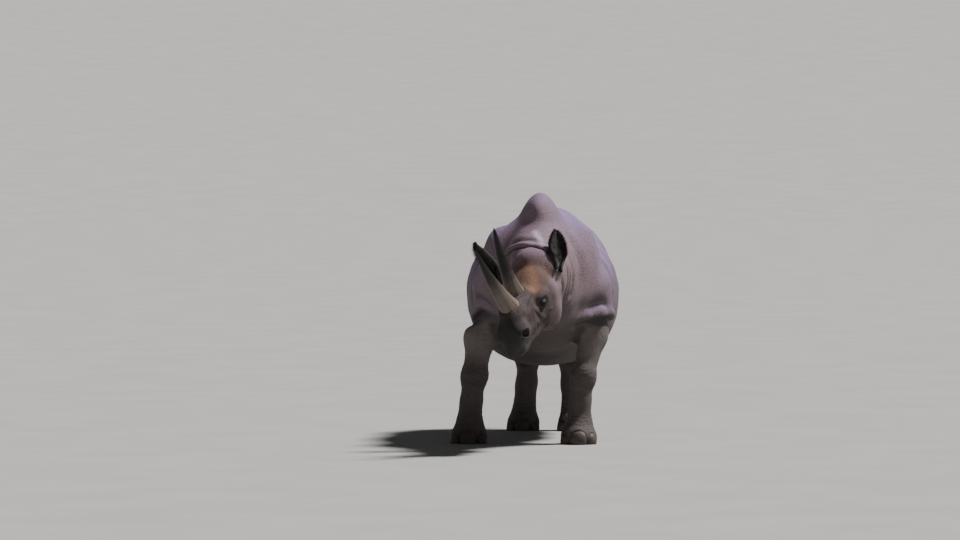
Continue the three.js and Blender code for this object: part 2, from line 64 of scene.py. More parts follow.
bl_info = {
    "name": "Black rhinoceros figure",
    "version": (1, 0, 0),
    "blender": (4, 5, 0),
    "location": "3D View > Sidebar > Rhinoceros",
    "description": "Builds the hide, horns, eyes, nails and hair of a life-size black rhinoceros",
    "category": "Object",
}

# ------------------------------------------------------------------ curves and noise


def smooth(low, high, x):
    """0 below low, 1 above high, and smooth between."""
    t = np.clip((x - low) / (high - low), 0, 1)
    return t * t * (3 - 2 * t)


def mix(a, b, t):
    return a + (b - a) * t


def unit(v):
    v = np.asarray(v, float)
    return v / np.linalg.norm(v)


def span(v):
    """The length of each column."""
    return np.sqrt((v**2).sum(0))


def bell(x, middle, width):
    """1 in the middle, fading out smoothly on both sides over about twice the width."""
    return np.exp(-(((x - middle) / width) ** 2))


def window(x, start, full, fade, end):
    """1 from full to fade, 0 before start and after end, and smooth between."""
    return smooth(start, full, x) * smooth(end, fade, x)


def grooves(x, spacing, sharp):
    """1 at each whole number of spacings, and falling off to 0 half-way to the next."""
    return (1 - np.abs(np.sin(np.pi * x / spacing))) ** sharp


def waves(p, size, seed, parts=7):
    """Smooth noise, mostly from -1 to 1, in forms of about the given size."""
    rng = np.random.default_rng(seed)
    total = np.zeros(p.shape[1])
    for _ in range(parts):
        way = unit(rng.normal(size=3)) * rng.uniform(0.7, 1.5) * 2 * math.pi / size
        total += np.sin(way @ p + rng.uniform(0, 2 * math.pi))
    return total / math.sqrt(parts)


# ------------------------------------------------------------------ places

# The form is worked out in millimetres from the ground under the shoulder hump: the animal faces -Y
# and its left is +X. The frame's origin is on the ground under the middle of the whole animal.
MM = 0.001
HUMP_AT = np.array([40.690, -80.673, 0.0])
SIDES = (-1, 1)
FLESH = [
    "trunk", "neck", "head", "tail", "foreleg_left", "foreleg_right", "hindleg_left",
    "hindleg_right",
]
EARS = ["ear_left", "ear_right"]
NAILS = [name for name in frame["nodes"] if name.startswith("nail_")]


def turn_matrix(degrees, axis):
    c, s = math.cos(math.radians(degrees)), math.sin(math.radians(degrees))
    rows = {
        "X": [[1, 0, 0], [0, c, -s], [0, s, c]],
        "Y": [[c, 0, s], [0, 1, 0], [-s, 0, c]],
        "Z": [[c, -s, 0], [s, c, 0], [0, 0, 1]],
    }
    return np.array(rows[axis])


HEAD_AT = (20, -640, 1068)  # middle of the head's joint with the neck
HEAD_TURN = turn_matrix(-9, "Y") @ turn_matrix(-20, "Z") @ turn_matrix(26, "X")


def column(point):
    return np.asarray(point, float).reshape(3, 1)


def on_head(p):
    """Points as distances forward from the poll, to the left, and above the head's middle line."""
    x, y, z = HEAD_TURN.T @ (p - column(HEAD_AT))
    return np.stack([-y, x, z])


def from_head(h):
    forward, left, up = np.asarray(h, float).reshape(3, -1)
    return HEAD_TURN @ np.stack([left, -forward, up]) + column(HEAD_AT)


# ------------------------------------------------------------------ the form, negative inside


def ball(centre, radii, turn=0.0):
    """An ellipsoid, pitched about X by turn degrees."""
    cx, cy, cz = centre
    rx, ry, rz = radii
    c, s = math.cos(math.radians(turn)), math.sin(math.radians(turn))

    def field(p):
        dy, dz = p[1] - cy, p[2] - cz
        x, y, z = (p[0] - cx) / rx, (c * dy + s * dz) / ry, (c * dz - s * dy) / rz
        near = np.sqrt(x * x + y * y + z * z)
        slope = np.sqrt((x / rx) ** 2 + (y / ry) ** 2 + (z / rz) ** 2)
        return near * (near - 1) / np.maximum(slope, 1e-6)

    return field


def limb(start, end, start_radius, end_radius):
    a = column(start)
    along = column(end) - a
    length2 = float((along**2).sum())

    def field(p):
        q = p - a
        t = np.clip((q * along).sum(0) / length2, 0, 1)
        return span(q - along * t) - (start_radius + (end_radius - start_radius) * t)

    return field


def chain(joints):
    return [limb(a[:3], b[:3], a[3], b[3]) for a, b in zip(joints, joints[1:])]


def melt(fields, soft):
    """Joins fields; soft is how far apart two surfaces start to run into each other."""

    def field(p):
        joined = fields[0](p)
        for other in fields[1:]:
            d = other(p)
            near = np.maximum(soft - np.abs(joined - d), 0) / soft
            joined = np.minimum(joined, d) - near * near * soft / 4
        return joined

    return field


def trunk_field():
    return melt([
        ball((-6, 560, 930), (485.5, 760, 442)),
        ball((0, -40, 950), (335, 400, 375)),
        ball((0, 660, 766), (427.5, 520, 300)),
        ball((0, 1135, 1000), (385, 455, 405)),
        ball((0, 1090, 1267), (215, 400, 182)),
        ball((0, 30, 1398), (106, 345, 160), -10),
        ball((0, -210, 760), (165, 235, 160)),
        limb((0, 200, 1302), (0, 900, 1312), 92, 104),
        *[ball((s * 255, -30, 1050 + s * 10), (122, 205, 300), 12) for s in SIDES],
        *[ball((s * 245, 1130, 930), (165, 285, 340), -8) for s in SIDES],
    ], 120)


def neck_field():
    x, y, z = HEAD_AT
    return melt([
        limb((0, -40, 1304), (x - 10, y + 20, z + 45), 134, 128),
        limb((0, -150, 1120), (x, y + 30, z - 10), 270, 158),
        limb((0, -200, 930), (x, y + 20, z - 95), 235, 118),
    ], 110)


TAIL = [
    (0, 1510, 1270, 66), (0, 1615, 1170, 46), (0, 1660, 1010, 34), (0, 1668, 820, 26),
    (0, 1660, 690, 20), (0, 1654, 640, 27), (0, 1650, 585, 12),
]

# The joints of each leg from the body down, the middle of its foot, and the foot's half sizes. The
# ham is the back of a hind leg's thigh, from the rump to the hock.
LEGS = {
    "foreleg_left": {
        "joints": [
            (290, -10, 960, 165), (336, 12, 805, 118), (331, -22, 675, 86),
            (270, -90, 425, 70), (254, -102, 270, 66), (248, -106, 150, 84),
        ],
        "foot": (244, -124),
        "size": (118, 134),
    },
    "foreleg_right": {
        "joints": [
            (-280, 10, 960, 150), (-306, 40, 825, 104), (-378, 14, 655, 100),
            (-412, -34, 425, 72), (-430, -44, 270, 67), (-440, -46, 150, 85),
        ],
        "foot": (-444, -64),
        "size": (118, 134),
    },
    "hindleg_left": {
        "joints": [
            (245, 1120, 920, 205), (282, 1010, 745, 150), (225, 1180, 600, 112),
            (150, 1345, 465, 78), (156, 1326, 300, 69), (166, 1290, 150, 82),
        ],
        "ham": [(210, 1395, 880, 175), (204, 1420, 700, 112), (156, 1392, 520, 64)],
        "foot": (172, 1262),
        "size": (110, 126),
    },
    "hindleg_right": {
        "joints": [
            (-245, 1120, 920, 205), (-278, 1020, 745, 150), (-215, 1215, 600, 112),
            (-130, 1392, 465, 78), (-138, 1374, 300, 69), (-150, 1340, 150, 82),
        ],
        "ham": [(-210, 1400, 880, 175), (-196, 1440, 700, 112), (-136, 1438, 520, 64)],
        "foot": (-157, 1312),
        "size": (110, 126),
    },
}


def leg_field(joints, foot, size, ham=None):
    forms = chain(joints) + [ball((*foot, 38), (*size, 112))]
    x, y, z, _ = joints[3]
    if ham:
        forms += [*chain(ham), ball((x, y + 40, z + 16), (54, 56, 84), 12)]
    else:
        forms.append(ball((x, y - 14, z - 18), (80, 74, 84)))
    return melt(forms, 45)


NOSTRIL = (672, 88, -28)  # forward, to the side and up, in the head


def head_field():
    def at(forward, left, up):
        return (left, -forward, up)

    whole = melt([
        ball(at(115, 0, 6), (148, 205, 142)),  # braincase
        ball(at(30, 0, 112), (112, 88, 76)),  # crest of the poll
        limb(at(150, 0, -6), at(440, 0, 12), 116, 100),  # forehead and bridge
        limb(at(440, 0, 14), at(605, 0, 20), 96, 86),  # nose
        ball(at(400, 0, 64), (88, 94, 50)),  # pad of the rear horn
        ball(at(558, 0, 60), (84, 88, 56)),  # pad of the front horn
        limb(at(165, 0, -135), at(600, 0, -124), 110, 58),  # lower jaw
        ball(at(660, 0, -30), (88, 74, 80), -12),  # muzzle
        ball(at(679, -6, -88), (60, 60, 58), -28),  # upper lip
        ball(at(707, -20, -124), (31, 28, 44), -20),  # its hooked tip, drawn to the right
        ball(at(630, 0, -150), (52, 66, 36)),  # lower lip
        *[ball(at(238, s * 94, -26), (62, 172, 80)) for s in SIDES],  # cheekbones
        *[ball(at(182, s * 68, -148), (68, 150, 114), 14) for s in SIDES],  # jowls
        *[limb(at(310, s * 62, -52), at(590, s * 40, -62), 66, 50) for s in SIDES],
        *[ball(at(336, s * 118, 40), (34, 64, 30), -8) for s in SIDES],  # brows
        *[ball(at(646, s * 58, -20), (42, 56, 50), -20) for s in SIDES],  # nostril wings
        ball(at(62, 126, 60), (56, 60, 56)),  # root of the left ear
        ball(at(86, -142, 64), (76, 60, 54)),  # root of the right ear, which is held out
    ], 44)
    forward, aside, up = NOSTRIL
    nostrils = [ball(at(forward, s * aside, up), (26, 36, 18), -40) for s in SIDES]

    def field(p):
        q = HEAD_TURN.T @ (p - column(HEAD_AT))
        return np.maximum(whole(q), -np.minimum(nostrils[0](q), nostrils[1](q)))

    return field


def flesh_field():
    legs = [leg_field(**leg) for leg in LEGS.values()]
    standing = melt([melt([trunk_field(), neck_field()], 130), *legs], 70)
    return melt([melt([standing, head_field()], 60), melt(chain(TAIL), 30)], 40)


flesh = flesh_field()
STEP = 1.0  # how far the form's slope is felt out


def depth_and_slope(p):
    d = flesh(p)
    ahead = [flesh(p + STEP * column(np.eye(3)[axis])) - d for axis in range(3)]
    return d, np.stack(ahead) / STEP


def settle(p, inset=0.0, rounds=3, reach=25.0):
    """Points moved along the form's slope, by at most reach a round, until they lie inset under it."""
    for _ in range(rounds):
        d, slope = depth_and_slope(p)
        length2 = np.maximum((slope**2).sum(0), 0.1)
        move = -(d + inset) / length2 * slope
        p = p + move * np.minimum(1, reach / np.maximum(span(move), 1e-6))
    return p


def facing(p):
    """Which way the form's surface faces."""
    slope = depth_and_slope(p)[1]
    return slope / np.maximum(span(slope), 1e-6)


# ------------------------------------------------------------------ Blender helpers


def clear_selection():
    if bpy.context.object and bpy.context.object.mode != "OBJECT":
        bpy.ops.object.mode_set(mode="OBJECT")
    bpy.ops.object.select_all(action="DESELECT")


def take(*pieces):
    """Selects just these pieces and makes the first one active."""
    clear_selection()
    for piece in pieces:
        piece.select_set(True)
    bpy.context.view_layer.objects.active = pieces[0]
    return pieces[0]


def open_mesh():
    """Goes into edit mode on the active piece, with all of it selected."""
    bpy.ops.object.mode_set(mode="EDIT")
    bpy.ops.mesh.select_all(action="SELECT")


def close_mesh():
    bpy.ops.object.mode_set(mode="OBJECT")


def face_outwards(piece):
    take(piece)
    open_mesh()
    bpy.ops.mesh.normals_make_consistent(inside=False)
    close_mesh()


def new_piece(name):
    """Names the primitive that was just added."""
    piece = bpy.context.object
    piece.name = piece.data.name = name
    return piece


def corners_of(piece):
    """The piece's corners as they are in its mesh, in three rows."""
    co = np.empty(len(piece.data.vertices) * 3, np.float32)
    piece.data.vertices.foreach_get("co", co)
    return co.reshape(-1, 3).astype(float).T


def points_of(piece):
    """The piece's corners in the form's millimetres."""
    return corners_of(piece) / MM - column(HUMP_AT)


def put_points(piece, p):
    co = ((p + column(HUMP_AT)) * MM).T
    piece.data.vertices.foreach_set("co", co.astype(np.float32).ravel())
    piece.data.update()


def note(piece, name, values):
    """Keeps a number for each corner, for the material to read."""
    layer = piece.data.attributes.get(name) or piece.data.attributes.new(name, "FLOAT", "POINT")
    layer.data.foreach_set("value", np.asarray(values, np.float32))


def noted(piece, name):
    values = np.zeros(len(piece.data.vertices), np.float32)
    layer = piece.data.attributes.get(name)
    if layer:
        layer.data.foreach_get("value", values)
    return values


def select_none(mesh):
    for part in (mesh.vertices, mesh.edges, mesh.polygons):
        part.foreach_set("select", np.zeros(len(part), bool))


def open_corners(piece, corners):
    """Goes into edit mode with just the picked corners selected."""
    take(piece)
    select_none(piece.data)
    piece.data.vertices.foreach_set("select", corners)
    bpy.context.tool_settings.mesh_select_mode = (True, False, False)
    bpy.ops.object.mode_set(mode="EDIT")


def open_faces(piece, corners):
    """Goes into edit mode with just the faces selected whose corners are all picked."""
    take(piece)
    mesh = piece.data
    select_none(mesh)
    starts = np.empty(len(mesh.polygons), np.int32)
    mesh.polygons.foreach_get("loop_start", starts)
    loops = np.empty(len(mesh.loops), np.int32)
    mesh.loops.foreach_get("vertex_index", loops)
    chosen = np.minimum.reduceat(corners[loops].astype(np.uint8), starts).astype(bool)
    mesh.polygons.foreach_set("select", chosen)
    bpy.context.tool_settings.mesh_select_mode = (False, False, True)
    bpy.ops.object.mode_set(mode="EDIT")


def apply(piece, kind, **settings):
    take(piece)
    modifier = piece.modifiers.new(kind.title(), kind)
    for key, value in settings.items():
        setattr(modifier, key, value)
    bpy.ops.object.modifier_apply(modifier=modifier.name)


def merged_copy(name, nodes):
    """One mesh of the named solids' own shapes, with the corners that they share joined."""
    pieces = []
    for node in nodes:
        piece = bpy.data.objects.new(node + "_copy", frame["nodes"][node].data.copy())
        bpy.context.scene.collection.objects.link(piece)
        pieces.append(piece)
    whole = take(*pieces)
    if len(pieces) > 1:
        bpy.ops.object.join()
    open_mesh()
    bpy.ops.mesh.remove_doubles(threshold=0.00002)
    close_mesh()
    whole.name = whole.data.name = name
    whole.data.materials.clear()
    return whole


# ------------------------------------------------------------------ the skin's mesh


def horn_stub(node, seat):
    """A copy of a horn's foot, cut off just over the skin, which fills its seat in the head."""
    stub = merged_copy(node + "_stub", [node])
    root = from_head(seat)
    above = from_head(np.add(seat, (0, 0, 1))) - root
    cut_at = ((root + column(HUMP_AT)) * MM)[:, 0]
    open_mesh()
    bpy.ops.mesh.bisect(plane_co=cut_at, plane_no=above[:, 0], use_fill=True, clear_outer=True)
    close_mesh()
    return stub


def keep_largest(piece):
    """Drops the specks that a remesh leaves in the cuts between the solids."""
    height = corners_of(piece)[2]
    open_corners(piece, np.arange(height.size) == height.argmax())
    bpy.ops.mesh.select_linked()
    bpy.ops.mesh.select_all(action="INVERT")
    bpy.ops.mesh.delete(type="VERT")
    close_mesh()


def refine(piece, corners):
    """Halves the size of the faces whose corners are all picked."""
    open_faces(piece, corners)
    bpy.ops.mesh.subdivide(number_cuts=1, ngon=False, quadcorner="STRAIGHT_CUT")
    close_mesh()


def off_ears(piece):
    """Which corners are outside the ears, once these are joined on."""
    return noted(piece, "ear") < 0.02


def lay_on_form(piece, inset):
    """Draws the mesh onto the form, apart from the ears, evens it out, and draws it on again."""
    free = off_ears(piece)
    for evened in (False, True):
        p = points_of(piece)
        if evened:
            take(piece)
            open_mesh()
            bpy.ops.mesh.vertices_smooth(factor=0.5, repeat=1)
            close_mesh()
            p[:, free] = points_of(piece)[:, free]
        p[:, free] = settle(p[:, free], inset)
        p[2, free] = np.maximum(p[2, free], 0)
        put_points(piece, p)


# ------------------------------------------------------------------ ears

EAR_LENGTH = 262  # from the root to the tip
EAR_BURIED = 58  # what goes on inside the head
EAR_STEM = 36  # half the width and the depth of the rolled stem
EAR_HALF = 66  # half the width of the blade
EAR_DEEP = 40  # depth of the cup
EAR_WALL = 9
EAR_PLACES = [
    {"root": (59, 146, 67), "tip": (-0.01, 0.38, 0.6), "mouth": (0.43, -1, -0.45)},
    {"root": (94, -203, 76), "tip": (-0.65, -0.14, 0.79), "mouth": (-0.95, -1, -1.3)},
]


def ear_axes(place):
    """The ear's root, and its directions across, to the front of its cup, and up to its tip."""
    up = unit(place["tip"])
    across = unit(np.cross(place["mouth"], up))
    return from_head(place["root"]), np.stack([across, np.cross(up, across), up], axis=1)


def ear_point(place, share, turn, inward):
    """A place on the rolled leaf: share runs from the buried stem to the tip, turn from rim to rim."""
    blade = smooth(0.12, 0.5, share)
    taper = np.sqrt(np.maximum(1 - smooth(0.43, 1.06, share) ** 1.6, 0))
    half = mix(EAR_STEM, EAR_HALF, blade) * taper - inward
    deep = mix(EAR_STEM, EAR_DEEP, blade) * (0.25 + 0.75 * taper) - inward
    opening = np.radians(mix(162, 88, smooth(0.1, 0.62, share)))
    angle = turn * opening
    widest = np.sin(np.minimum(opening, math.pi / 2))
    root, axes = ear_axes(place)
    height = share * (EAR_LENGTH + EAR_BURIED) - EAR_BURIED
    local = np.stack([half * np.sin(angle) / widest, deep * (0.35 - np.cos(angle)), height])
    return root + axes @ local


def grid(name, across, along):
    """A flat grid, with each corner's shares across and along it."""
    clear_selection()
    bpy.ops.mesh.primitive_grid_add(x_subdivisions=across, y_subdivisions=along, size=1)
    piece = new_piece(name)
    x, y, _ = corners_of(piece) + 0.5
    return piece, x, y


def ear_shell(place, name):
    """The rolled leaf of one ear, given its wall."""
    piece, across, along = grid(name, 18, 22)
    share = 0.06 + 0.93 * along
    turn = 2 * across - 1
    veins = 0.9 * np.cos(turn * 15) * smooth(0.3, 0.6, share) * (1 - np.abs(turn))
    put_points(piece, ear_point(place, share, turn, 1.5 + veins))
    # the leaf's faces are made to look out of the ear's back
    half_way, ridge = np.array([0.5]), np.array([0.0])
    outer, inner = (ear_point(place, half_way, ridge, inward)[:, 0] for inward in (0.0, 10.0))
    middles = np.array([face.center for face in piece.data.polygons]) / MM - HUMP_AT
    nearest = piece.data.polygons[int(((middles - outer) ** 2).sum(1).argmin())]
    if np.array(nearest.normal) @ (outer - inner) < 0:
        piece.data.flip_normals()
    note(piece, "ear", np.ones(share.size))
    apply(piece, "SOLIDIFY", thickness=EAR_WALL * MM, offset=-1, use_even_offset=True)
    apply(piece, "SUBSURF", levels=1, render_levels=1)
    return piece


# ------------------------------------------------------------------ horns, eyes and nails

WITHIN = 0.985  # the size of horns and nails to that of their solids, which they stay inside
HORN_SEAT = 34  # how deep a horn's foot sits in the head
# Where each horn stands on the head, its length and its foot's radius, the degrees by which it leans
# forward and curls back, how it tapers, and how far down its dark tip reaches.
HORNS = {
    "horn_front": {
        "at": (561, -3, 102), "length": 554, "base": 65, "lean": 31, "curl": 21, "taper": 0.9, "dark": 0.95,
    },
    "horn_rear": {
        "at": (404, -6, 103), "length": 472, "base": 60, "lean": 18, "curl": 37, "taper": 0.71, "dark": 1.3,
    },
}
HORN_COLUMNS = 108
HORN_RINGS = 70
HORN_DEEP, HORN_WIDE = 1.08, 0.92  # a horn is deeper from front to back than it is wide
EYE_AT = (374, 130, -2)  # forward, to the side and up, in the head
EYE_RADIUS = 19.5


def loft(name, rings):
    """A closed body drawn through rings of corners, extruded from a disc ring by ring."""
    clear_selection()
    bpy.ops.mesh.primitive_circle_add(vertices=rings.shape[1], radius=0.01, fill_type="NGON")
    piece = new_piece(name)
    bpy.context.tool_settings.mesh_select_mode = (False, False, True)
    open_mesh()
    for _ in range(len(rings) - 1):
        bpy.ops.mesh.extrude_region_move(TRANSFORM_OT_translate={"value": (0, 0, 0.01)})
    close_mesh()
    put_points(piece, rings.reshape(-1, 3).T)
    face_outwards(piece)
    return piece


def make_horn(node, fibres):
    """One horn, drawn ring by ring along an arc, with its fibres in relief."""
    horn = HORNS[node]
    total = horn["length"] + HORN_SEAT
    lean = math.radians(horn["lean"])
    bend = math.radians(horn["curl"]) / total
    tip = 1 - 0.04 * np.linspace(0.85, 0, 8) ** 1.6
    share = np.concatenate([np.linspace(0, 0.96, HORN_RINGS), tip])[:, None]
    angle = np.linspace(0, 2 * math.pi, HORN_COLUMNS, endpoint=False)[None, :]
    along = share * total
    radius = horn["base"] * (0.06 + 0.94 * (1 - share) ** horn["taper"] + 0.12 * (1 - share) ** 12)
    radius = radius * np.sqrt(np.clip((1.003 - share) / 0.035, 0, 1)) * WITHIN
    # fibres run up the horn, coarse and split at its foot and worn smooth towards the tip
    round_place = np.stack(np.broadcast_arrays(np.cos(angle) * 60, np.sin(angle) * 60, along * 0.06))
    flat_place = round_place.reshape(3, -1)
    coarse = np.tanh(waves(flat_place, 26, 5)).reshape(radius.shape[0], -1)
    fine = np.tanh(waves(flat_place, 15, 6)).reshape(radius.shape[0], -1)
    growth = waves(np.stack([flat_place[0] * 0.2, flat_place[1] * 0.2, flat_place[2] * 16]), 34, 7)
    rough = (1 - smooth(0.03, 0.5, share)) * fibres
    rings_grown = 0.7 * growth.reshape(rough.shape[0], -1) * (1 - share)
    radius = radius + rough * (1.9 * coarse + 0.8 * fine - 2.0) + rings_grown
    turn = lean - bend * along
    foot_forward, foot_left, foot_up = horn["at"]
    forward = foot_forward + (np.cos(turn) - math.cos(lean)) / bend - HORN_SEAT * math.sin(lean)
    up = foot_up + (math.sin(lean) - np.sin(turn)) / bend - HORN_SEAT * math.cos(lean)
    fore = radius * HORN_DEEP * np.sin(angle)
    across = foot_left + radius * HORN_WIDE * np.cos(angle)
    place = np.stack([forward + fore * np.cos(turn), across, up - fore * np.sin(turn)])
    rings = from_head(place.reshape(3, -1)).T.reshape(share.size, angle.size, 3)
    piece = loft(node + "_keratin", rings)
    note(piece, "share", np.repeat(share[:, 0], angle.size) * horn["dark"])
    layer = piece.data.attributes.new("fibre", "FLOAT_VECTOR", "POINT")
    layer.data.foreach_set("vector", flat_place.T.astype(np.float32).ravel())
    note(piece, "groove", (-(coarse + 0.6 * fine) * rough).ravel())
    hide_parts(node)
    return piece


def eye_axes(side):
    """The eye's middle and its directions forward along the slit, up across it, and out."""
    centre = from_head((EYE_AT[0], side * EYE_AT[1], EYE_AT[2]))
    out = facing(settle(centre))[:, 0]
    ahead = from_head((EYE_AT[0] + 100, side * EYE_AT[1], EYE_AT[2] - 22))[:, 0] - centre[:, 0]
    ahead = unit(ahead - out * (ahead @ out))
    up = np.cross(out, ahead) * -side
    return centre, np.stack([ahead, up, out])


def unit_ball(name):
    clear_selection()
    bpy.ops.mesh.primitive_uv_sphere_add(segments=40, ring_count=24, radius=1)
    piece = new_piece(name)
    return piece, corners_of(piece)


def make_eye(side, depth):
    """One eyeball, set back in its socket, with the clear front of the eye standing out a little."""
    name = "eye_left" if side > 0 else "eye_right"
    centre, axes = eye_axes(side)
    piece, (x, y, z) = unit_ball(name + "_ball")
    bulge = 1 + 0.055 * (1 - smooth(0.0, 0.55, np.hypot(x, y))) * (z > 0)
    local = np.stack([x, y, z]) * EYE_RADIUS * bulge
    put_points(piece, centre - column(axes[2]) * depth + axes.T @ local)
    face_outwards(piece)
    note(piece, "off_axis", np.hypot(x / 1.25, y) + (z < 0) * 2)
    note(piece, "spoke", np.arctan2(y, x))
    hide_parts(name)
    return piece


NAIL_SIZES = [(-52, 40, 44), (0, 52, 54), (52, 40, 44)]  # degrees round, half width, height
SOLE = 0.0004  # how far the nails' cut is over the ground, in metres


def nail_place(node):
    """A nail's middle, its directions across, back and up, its half width and its height."""
    _, end, side, number = node.split("_")
    leg = LEGS[f"{end}leg_{side}"]
    degrees, half, tall = NAIL_SIZES[int(number) - 1]
    radians = math.radians(degrees)
    middle = (
        leg["foot"][0] + math.sin(radians) * (leg["size"][0] - 15),
        leg["foot"][1] - math.cos(radians) * (leg["size"][1] - 15),
        tall * 0.62,
    )
    return column(middle), turn_matrix(degrees, "Z") @ turn_matrix(-14, "X"), half, tall


def make_nail(node):
    """One nail, cut off level with the ground."""
    middle, axes, half, tall = nail_place(node)
    piece, (x, y, z) = unit_ball(node + "_horny")
    # squarer than a ball seen from the front, and ridged from side to side where it grows
    squared = 1 + 0.10 * np.minimum(np.abs(x), np.abs(z))
    x, z = x * squared, z * squared
    ridges = 0.018 * np.sin(z * 19 + 1.5 * np.sin(x * 3 + half)) + 0.012 * np.sin(z * 43 + x * 4)
    y = y * (1 + ridges * (y < 0)) * 0.98
    local = np.stack([x * half * WITHIN, y * 26, z * tall * WITHIN])
    put_points(piece, middle + axes @ local)
    note(piece, "share", z)
    take(piece)
    open_mesh()
    bpy.ops.mesh.bisect(plane_co=(0, 0, SOLE), plane_no=(0, 0, 1), use_fill=True, clear_inner=True)
    close_mesh()
    face_outwards(piece)
    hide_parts(node)
    return piece


# ------------------------------------------------------------------ materials


class Shade:
    """A number that varies over a surface; sums and products of shades add Math nodes."""

    def __init__(self, finish, socket):
        self.finish = finish
        self.socket = socket

    def math(self, operation, other=None, swapped=False):
        node = self.finish.nodes.new("ShaderNodeMath")
        node.operation = operation
        values = [self] if other is None else [other, self] if swapped else [self, other]
        for socket, value in zip(node.inputs, values):
            self.finish.feed(socket, value)
        return Shade(self.finish, node.outputs[0])

    def __add__(self, other):
        return self.math("ADD", other)

    def __sub__(self, other):
        return self.math("SUBTRACT", other)

    def __rsub__(self, other):
        return self.math("SUBTRACT", other, swapped=True)

    def __mul__(self, other):
        return self.math("MULTIPLY", other)

    __radd__ = __add__
    __rmul__ = __mul__

    def least(self, other):
        return self.math("MINIMUM", other)

    def most(self, other):
        return self.math("MAXIMUM", other)

    def clear_of(self, low, high):
        """0 below low, 1 above high and smooth between; low may be the greater of the two."""
        return self.finish.add(
            "ShaderNodeMapRange",
            {"interpolation_type": "SMOOTHSTEP"},
            {"Value": self, "From Min": low, "From Max": high},
        )


class Finish:
    """A material, and the one way in which its nodes are made."""

    def __init__(self, name, **constants):
        self.material = bpy.data.materials.new(name)
        self.material.use_nodes = True
        tree = self.material.node_tree
        self.nodes, self.links = tree.nodes, tree.links
        self.shader = self.nodes["Principled BSDF"]
        for socket, value in constants.items():
            self.shader.inputs[socket.replace("_", " ")].default_value = value
        self.place = self.add("ShaderNodeTexCoord", out="Object")
        self.colour = None

    def feed(self, socket, value):
        if isinstance(value, Shade):
            self.links.new(value.socket, socket)
        elif socket.type in ("RGBA", "VECTOR") and not hasattr(value, "__len__"):
            socket.default_value = (value,) * len(socket.default_value)
        elif socket.type == "RGBA":
            socket.default_value = (*value[:3], 1)
        else:
            socket.default_value = value

    def add(self, kind, settings=None, values=None, out=0):
        node = self.nodes.new(kind)
        for key, value in (settings or {}).items():
            if key == "stops":
                while len(node.color_ramp.elements) < len(value):
                    node.color_ramp.elements.new(0.5)
                for stop, (position, colour) in zip(node.color_ramp.elements, value):
                    stop.position, stop.color = position, (*colour, 1)
            else:
                setattr(node, key, value)
        for key, value in (values or {}).items():
            self.feed(node.inputs[key], value)
        return Shade(self, node.outputs[out])

    def noted(self, name, out="Fac"):
        return self.add("ShaderNodeAttribute", {"attribute_name": name}, out=out)

    def noise(self, scale, detail=3.0, rough=0.55, at=None):
        values = {"Vector": at or self.place, "Scale": scale, "Detail": detail, "Roughness": rough}
        return self.add("ShaderNodeTexNoise", {}, values)

    def cells(self, scale, at):
        """How far it is to the edge of the cell that a place is in."""
        values = {"Vector": at, "Scale": scale}
        return self.add("ShaderNodeTexVoronoi", {"feature": "DISTANCE_TO_EDGE"}, values, "Distance")

    def on_vectors(self, operation, values):
        return self.add("ShaderNodeVectorMath", {"operation": operation}, values)

    def stretched(self, factors):
        return self.on_vectors("MULTIPLY", {0: self.place, 1: factors})

    def pushed(self, amount, scale):
        """The place, shaken by a noise so that a pattern on it runs unevenly."""
        values = {"Vector": self.place, "Scale": scale, "Detail": 2.0}
        shake = self.add("ShaderNodeTexNoise", {}, values, out="Color")
        centred = self.on_vectors("SUBTRACT", {0: shake, 1: (0.5, 0.5, 0.5)})
        scaled = self.on_vectors("SCALE", {0: centred, "Scale": amount})
        return self.on_vectors("ADD", {0: self.place, 1: scaled})

    def blend(self, first, second, share):
        """A colour between two; 6, 7 and 2 are the Mix node's sockets for colours."""
        return self.add("ShaderNodeMix", {"data_type": "RGBA"}, {"Factor": share, 6: first, 7: second}, out=2)

    def paint(self, colour, share):
        """Lays a colour over those that are there already, by the given share."""
        self.colour = self.blend(self.colour, colour, share)

    def finish(self, roughness, height, deep, strength=1.0):
        """Ends in the shader: height is a relief of the given depth in metres."""
        self.feed(self.shader.inputs["Base Color"], self.colour)
        self.feed(self.shader.inputs["Roughness"], roughness)
        bump = self.add("ShaderNodeBump", {}, {"Height": height, "Distance": deep, "Strength": strength})
        self.links.new(bump.socket, self.shader.inputs["Normal"])
        return self.material


# paler mud, painted where the legs are higher up and catch more light
MUD_PAINTED_LIGHTER_HIGH = (0.2, 0.172, 0.158)
SHADED_HIDE = (0.022, 0.018, 0.016)
FACE_BLOTCHES = (0.165, 0.118, 0.122)
FOREHEAD_EARTH = (0.13, 0.074, 0.053)
# a pale glint painted on wet hide
PAINTED_GLINT = (0.7, 0.62, 0.78)
# black painted shade in the hollows
PAINTED_SHADE_BLACK = (0.013, 0.011, 0.012)
# dirt in the cracks, and painted shade in the creases
CRACK_DIRT_AND_SHADE = (0.04, 0.03, 0.032)
PALE_GRAIN = (0.4, 0.34, 0.4)
# along a horn from its foot up
HORN_COLOURS = [
    (0.0, (0.25, 0.19, 0.15)), (0.16, (0.17, 0.135, 0.108)), (0.36, (0.12, 0.098, 0.084)),
    (0.48, (0.055, 0.046, 0.04)), (0.6, (0.016, 0.014, 0.013)), (0.8, (0.008, 0.007, 0.008)),
    (1.0, (0.012, 0.011, 0.011)),
]
HORN_DUST, HORN_GROOVES = (0.2, 0.16, 0.125), (0.018, 0.014, 0.012)
NAIL_DARK, NAIL_PALE = (0.045, 0.037, 0.031), (0.085, 0.07, 0.058)
NAIL_EDGE, NAIL_SCUFFS = (0.05, 0.04, 0.034), (0.13, 0.108, 0.09)
IRIS_DARK, IRIS_PALE, PUPIL = (0.018, 0.008, 0.005), (0.06, 0.028, 0.014), (0.003, 0.0025, 0.0025)
EYE_RIM, EYE_WHITE = (0.006, 0.004, 0.004), (0.09, 0.06, 0.055)
FLOOR_DARK, FLOOR_PALE = (0.42, 0.42, 0.415), (0.45, 0.45, 0.445)


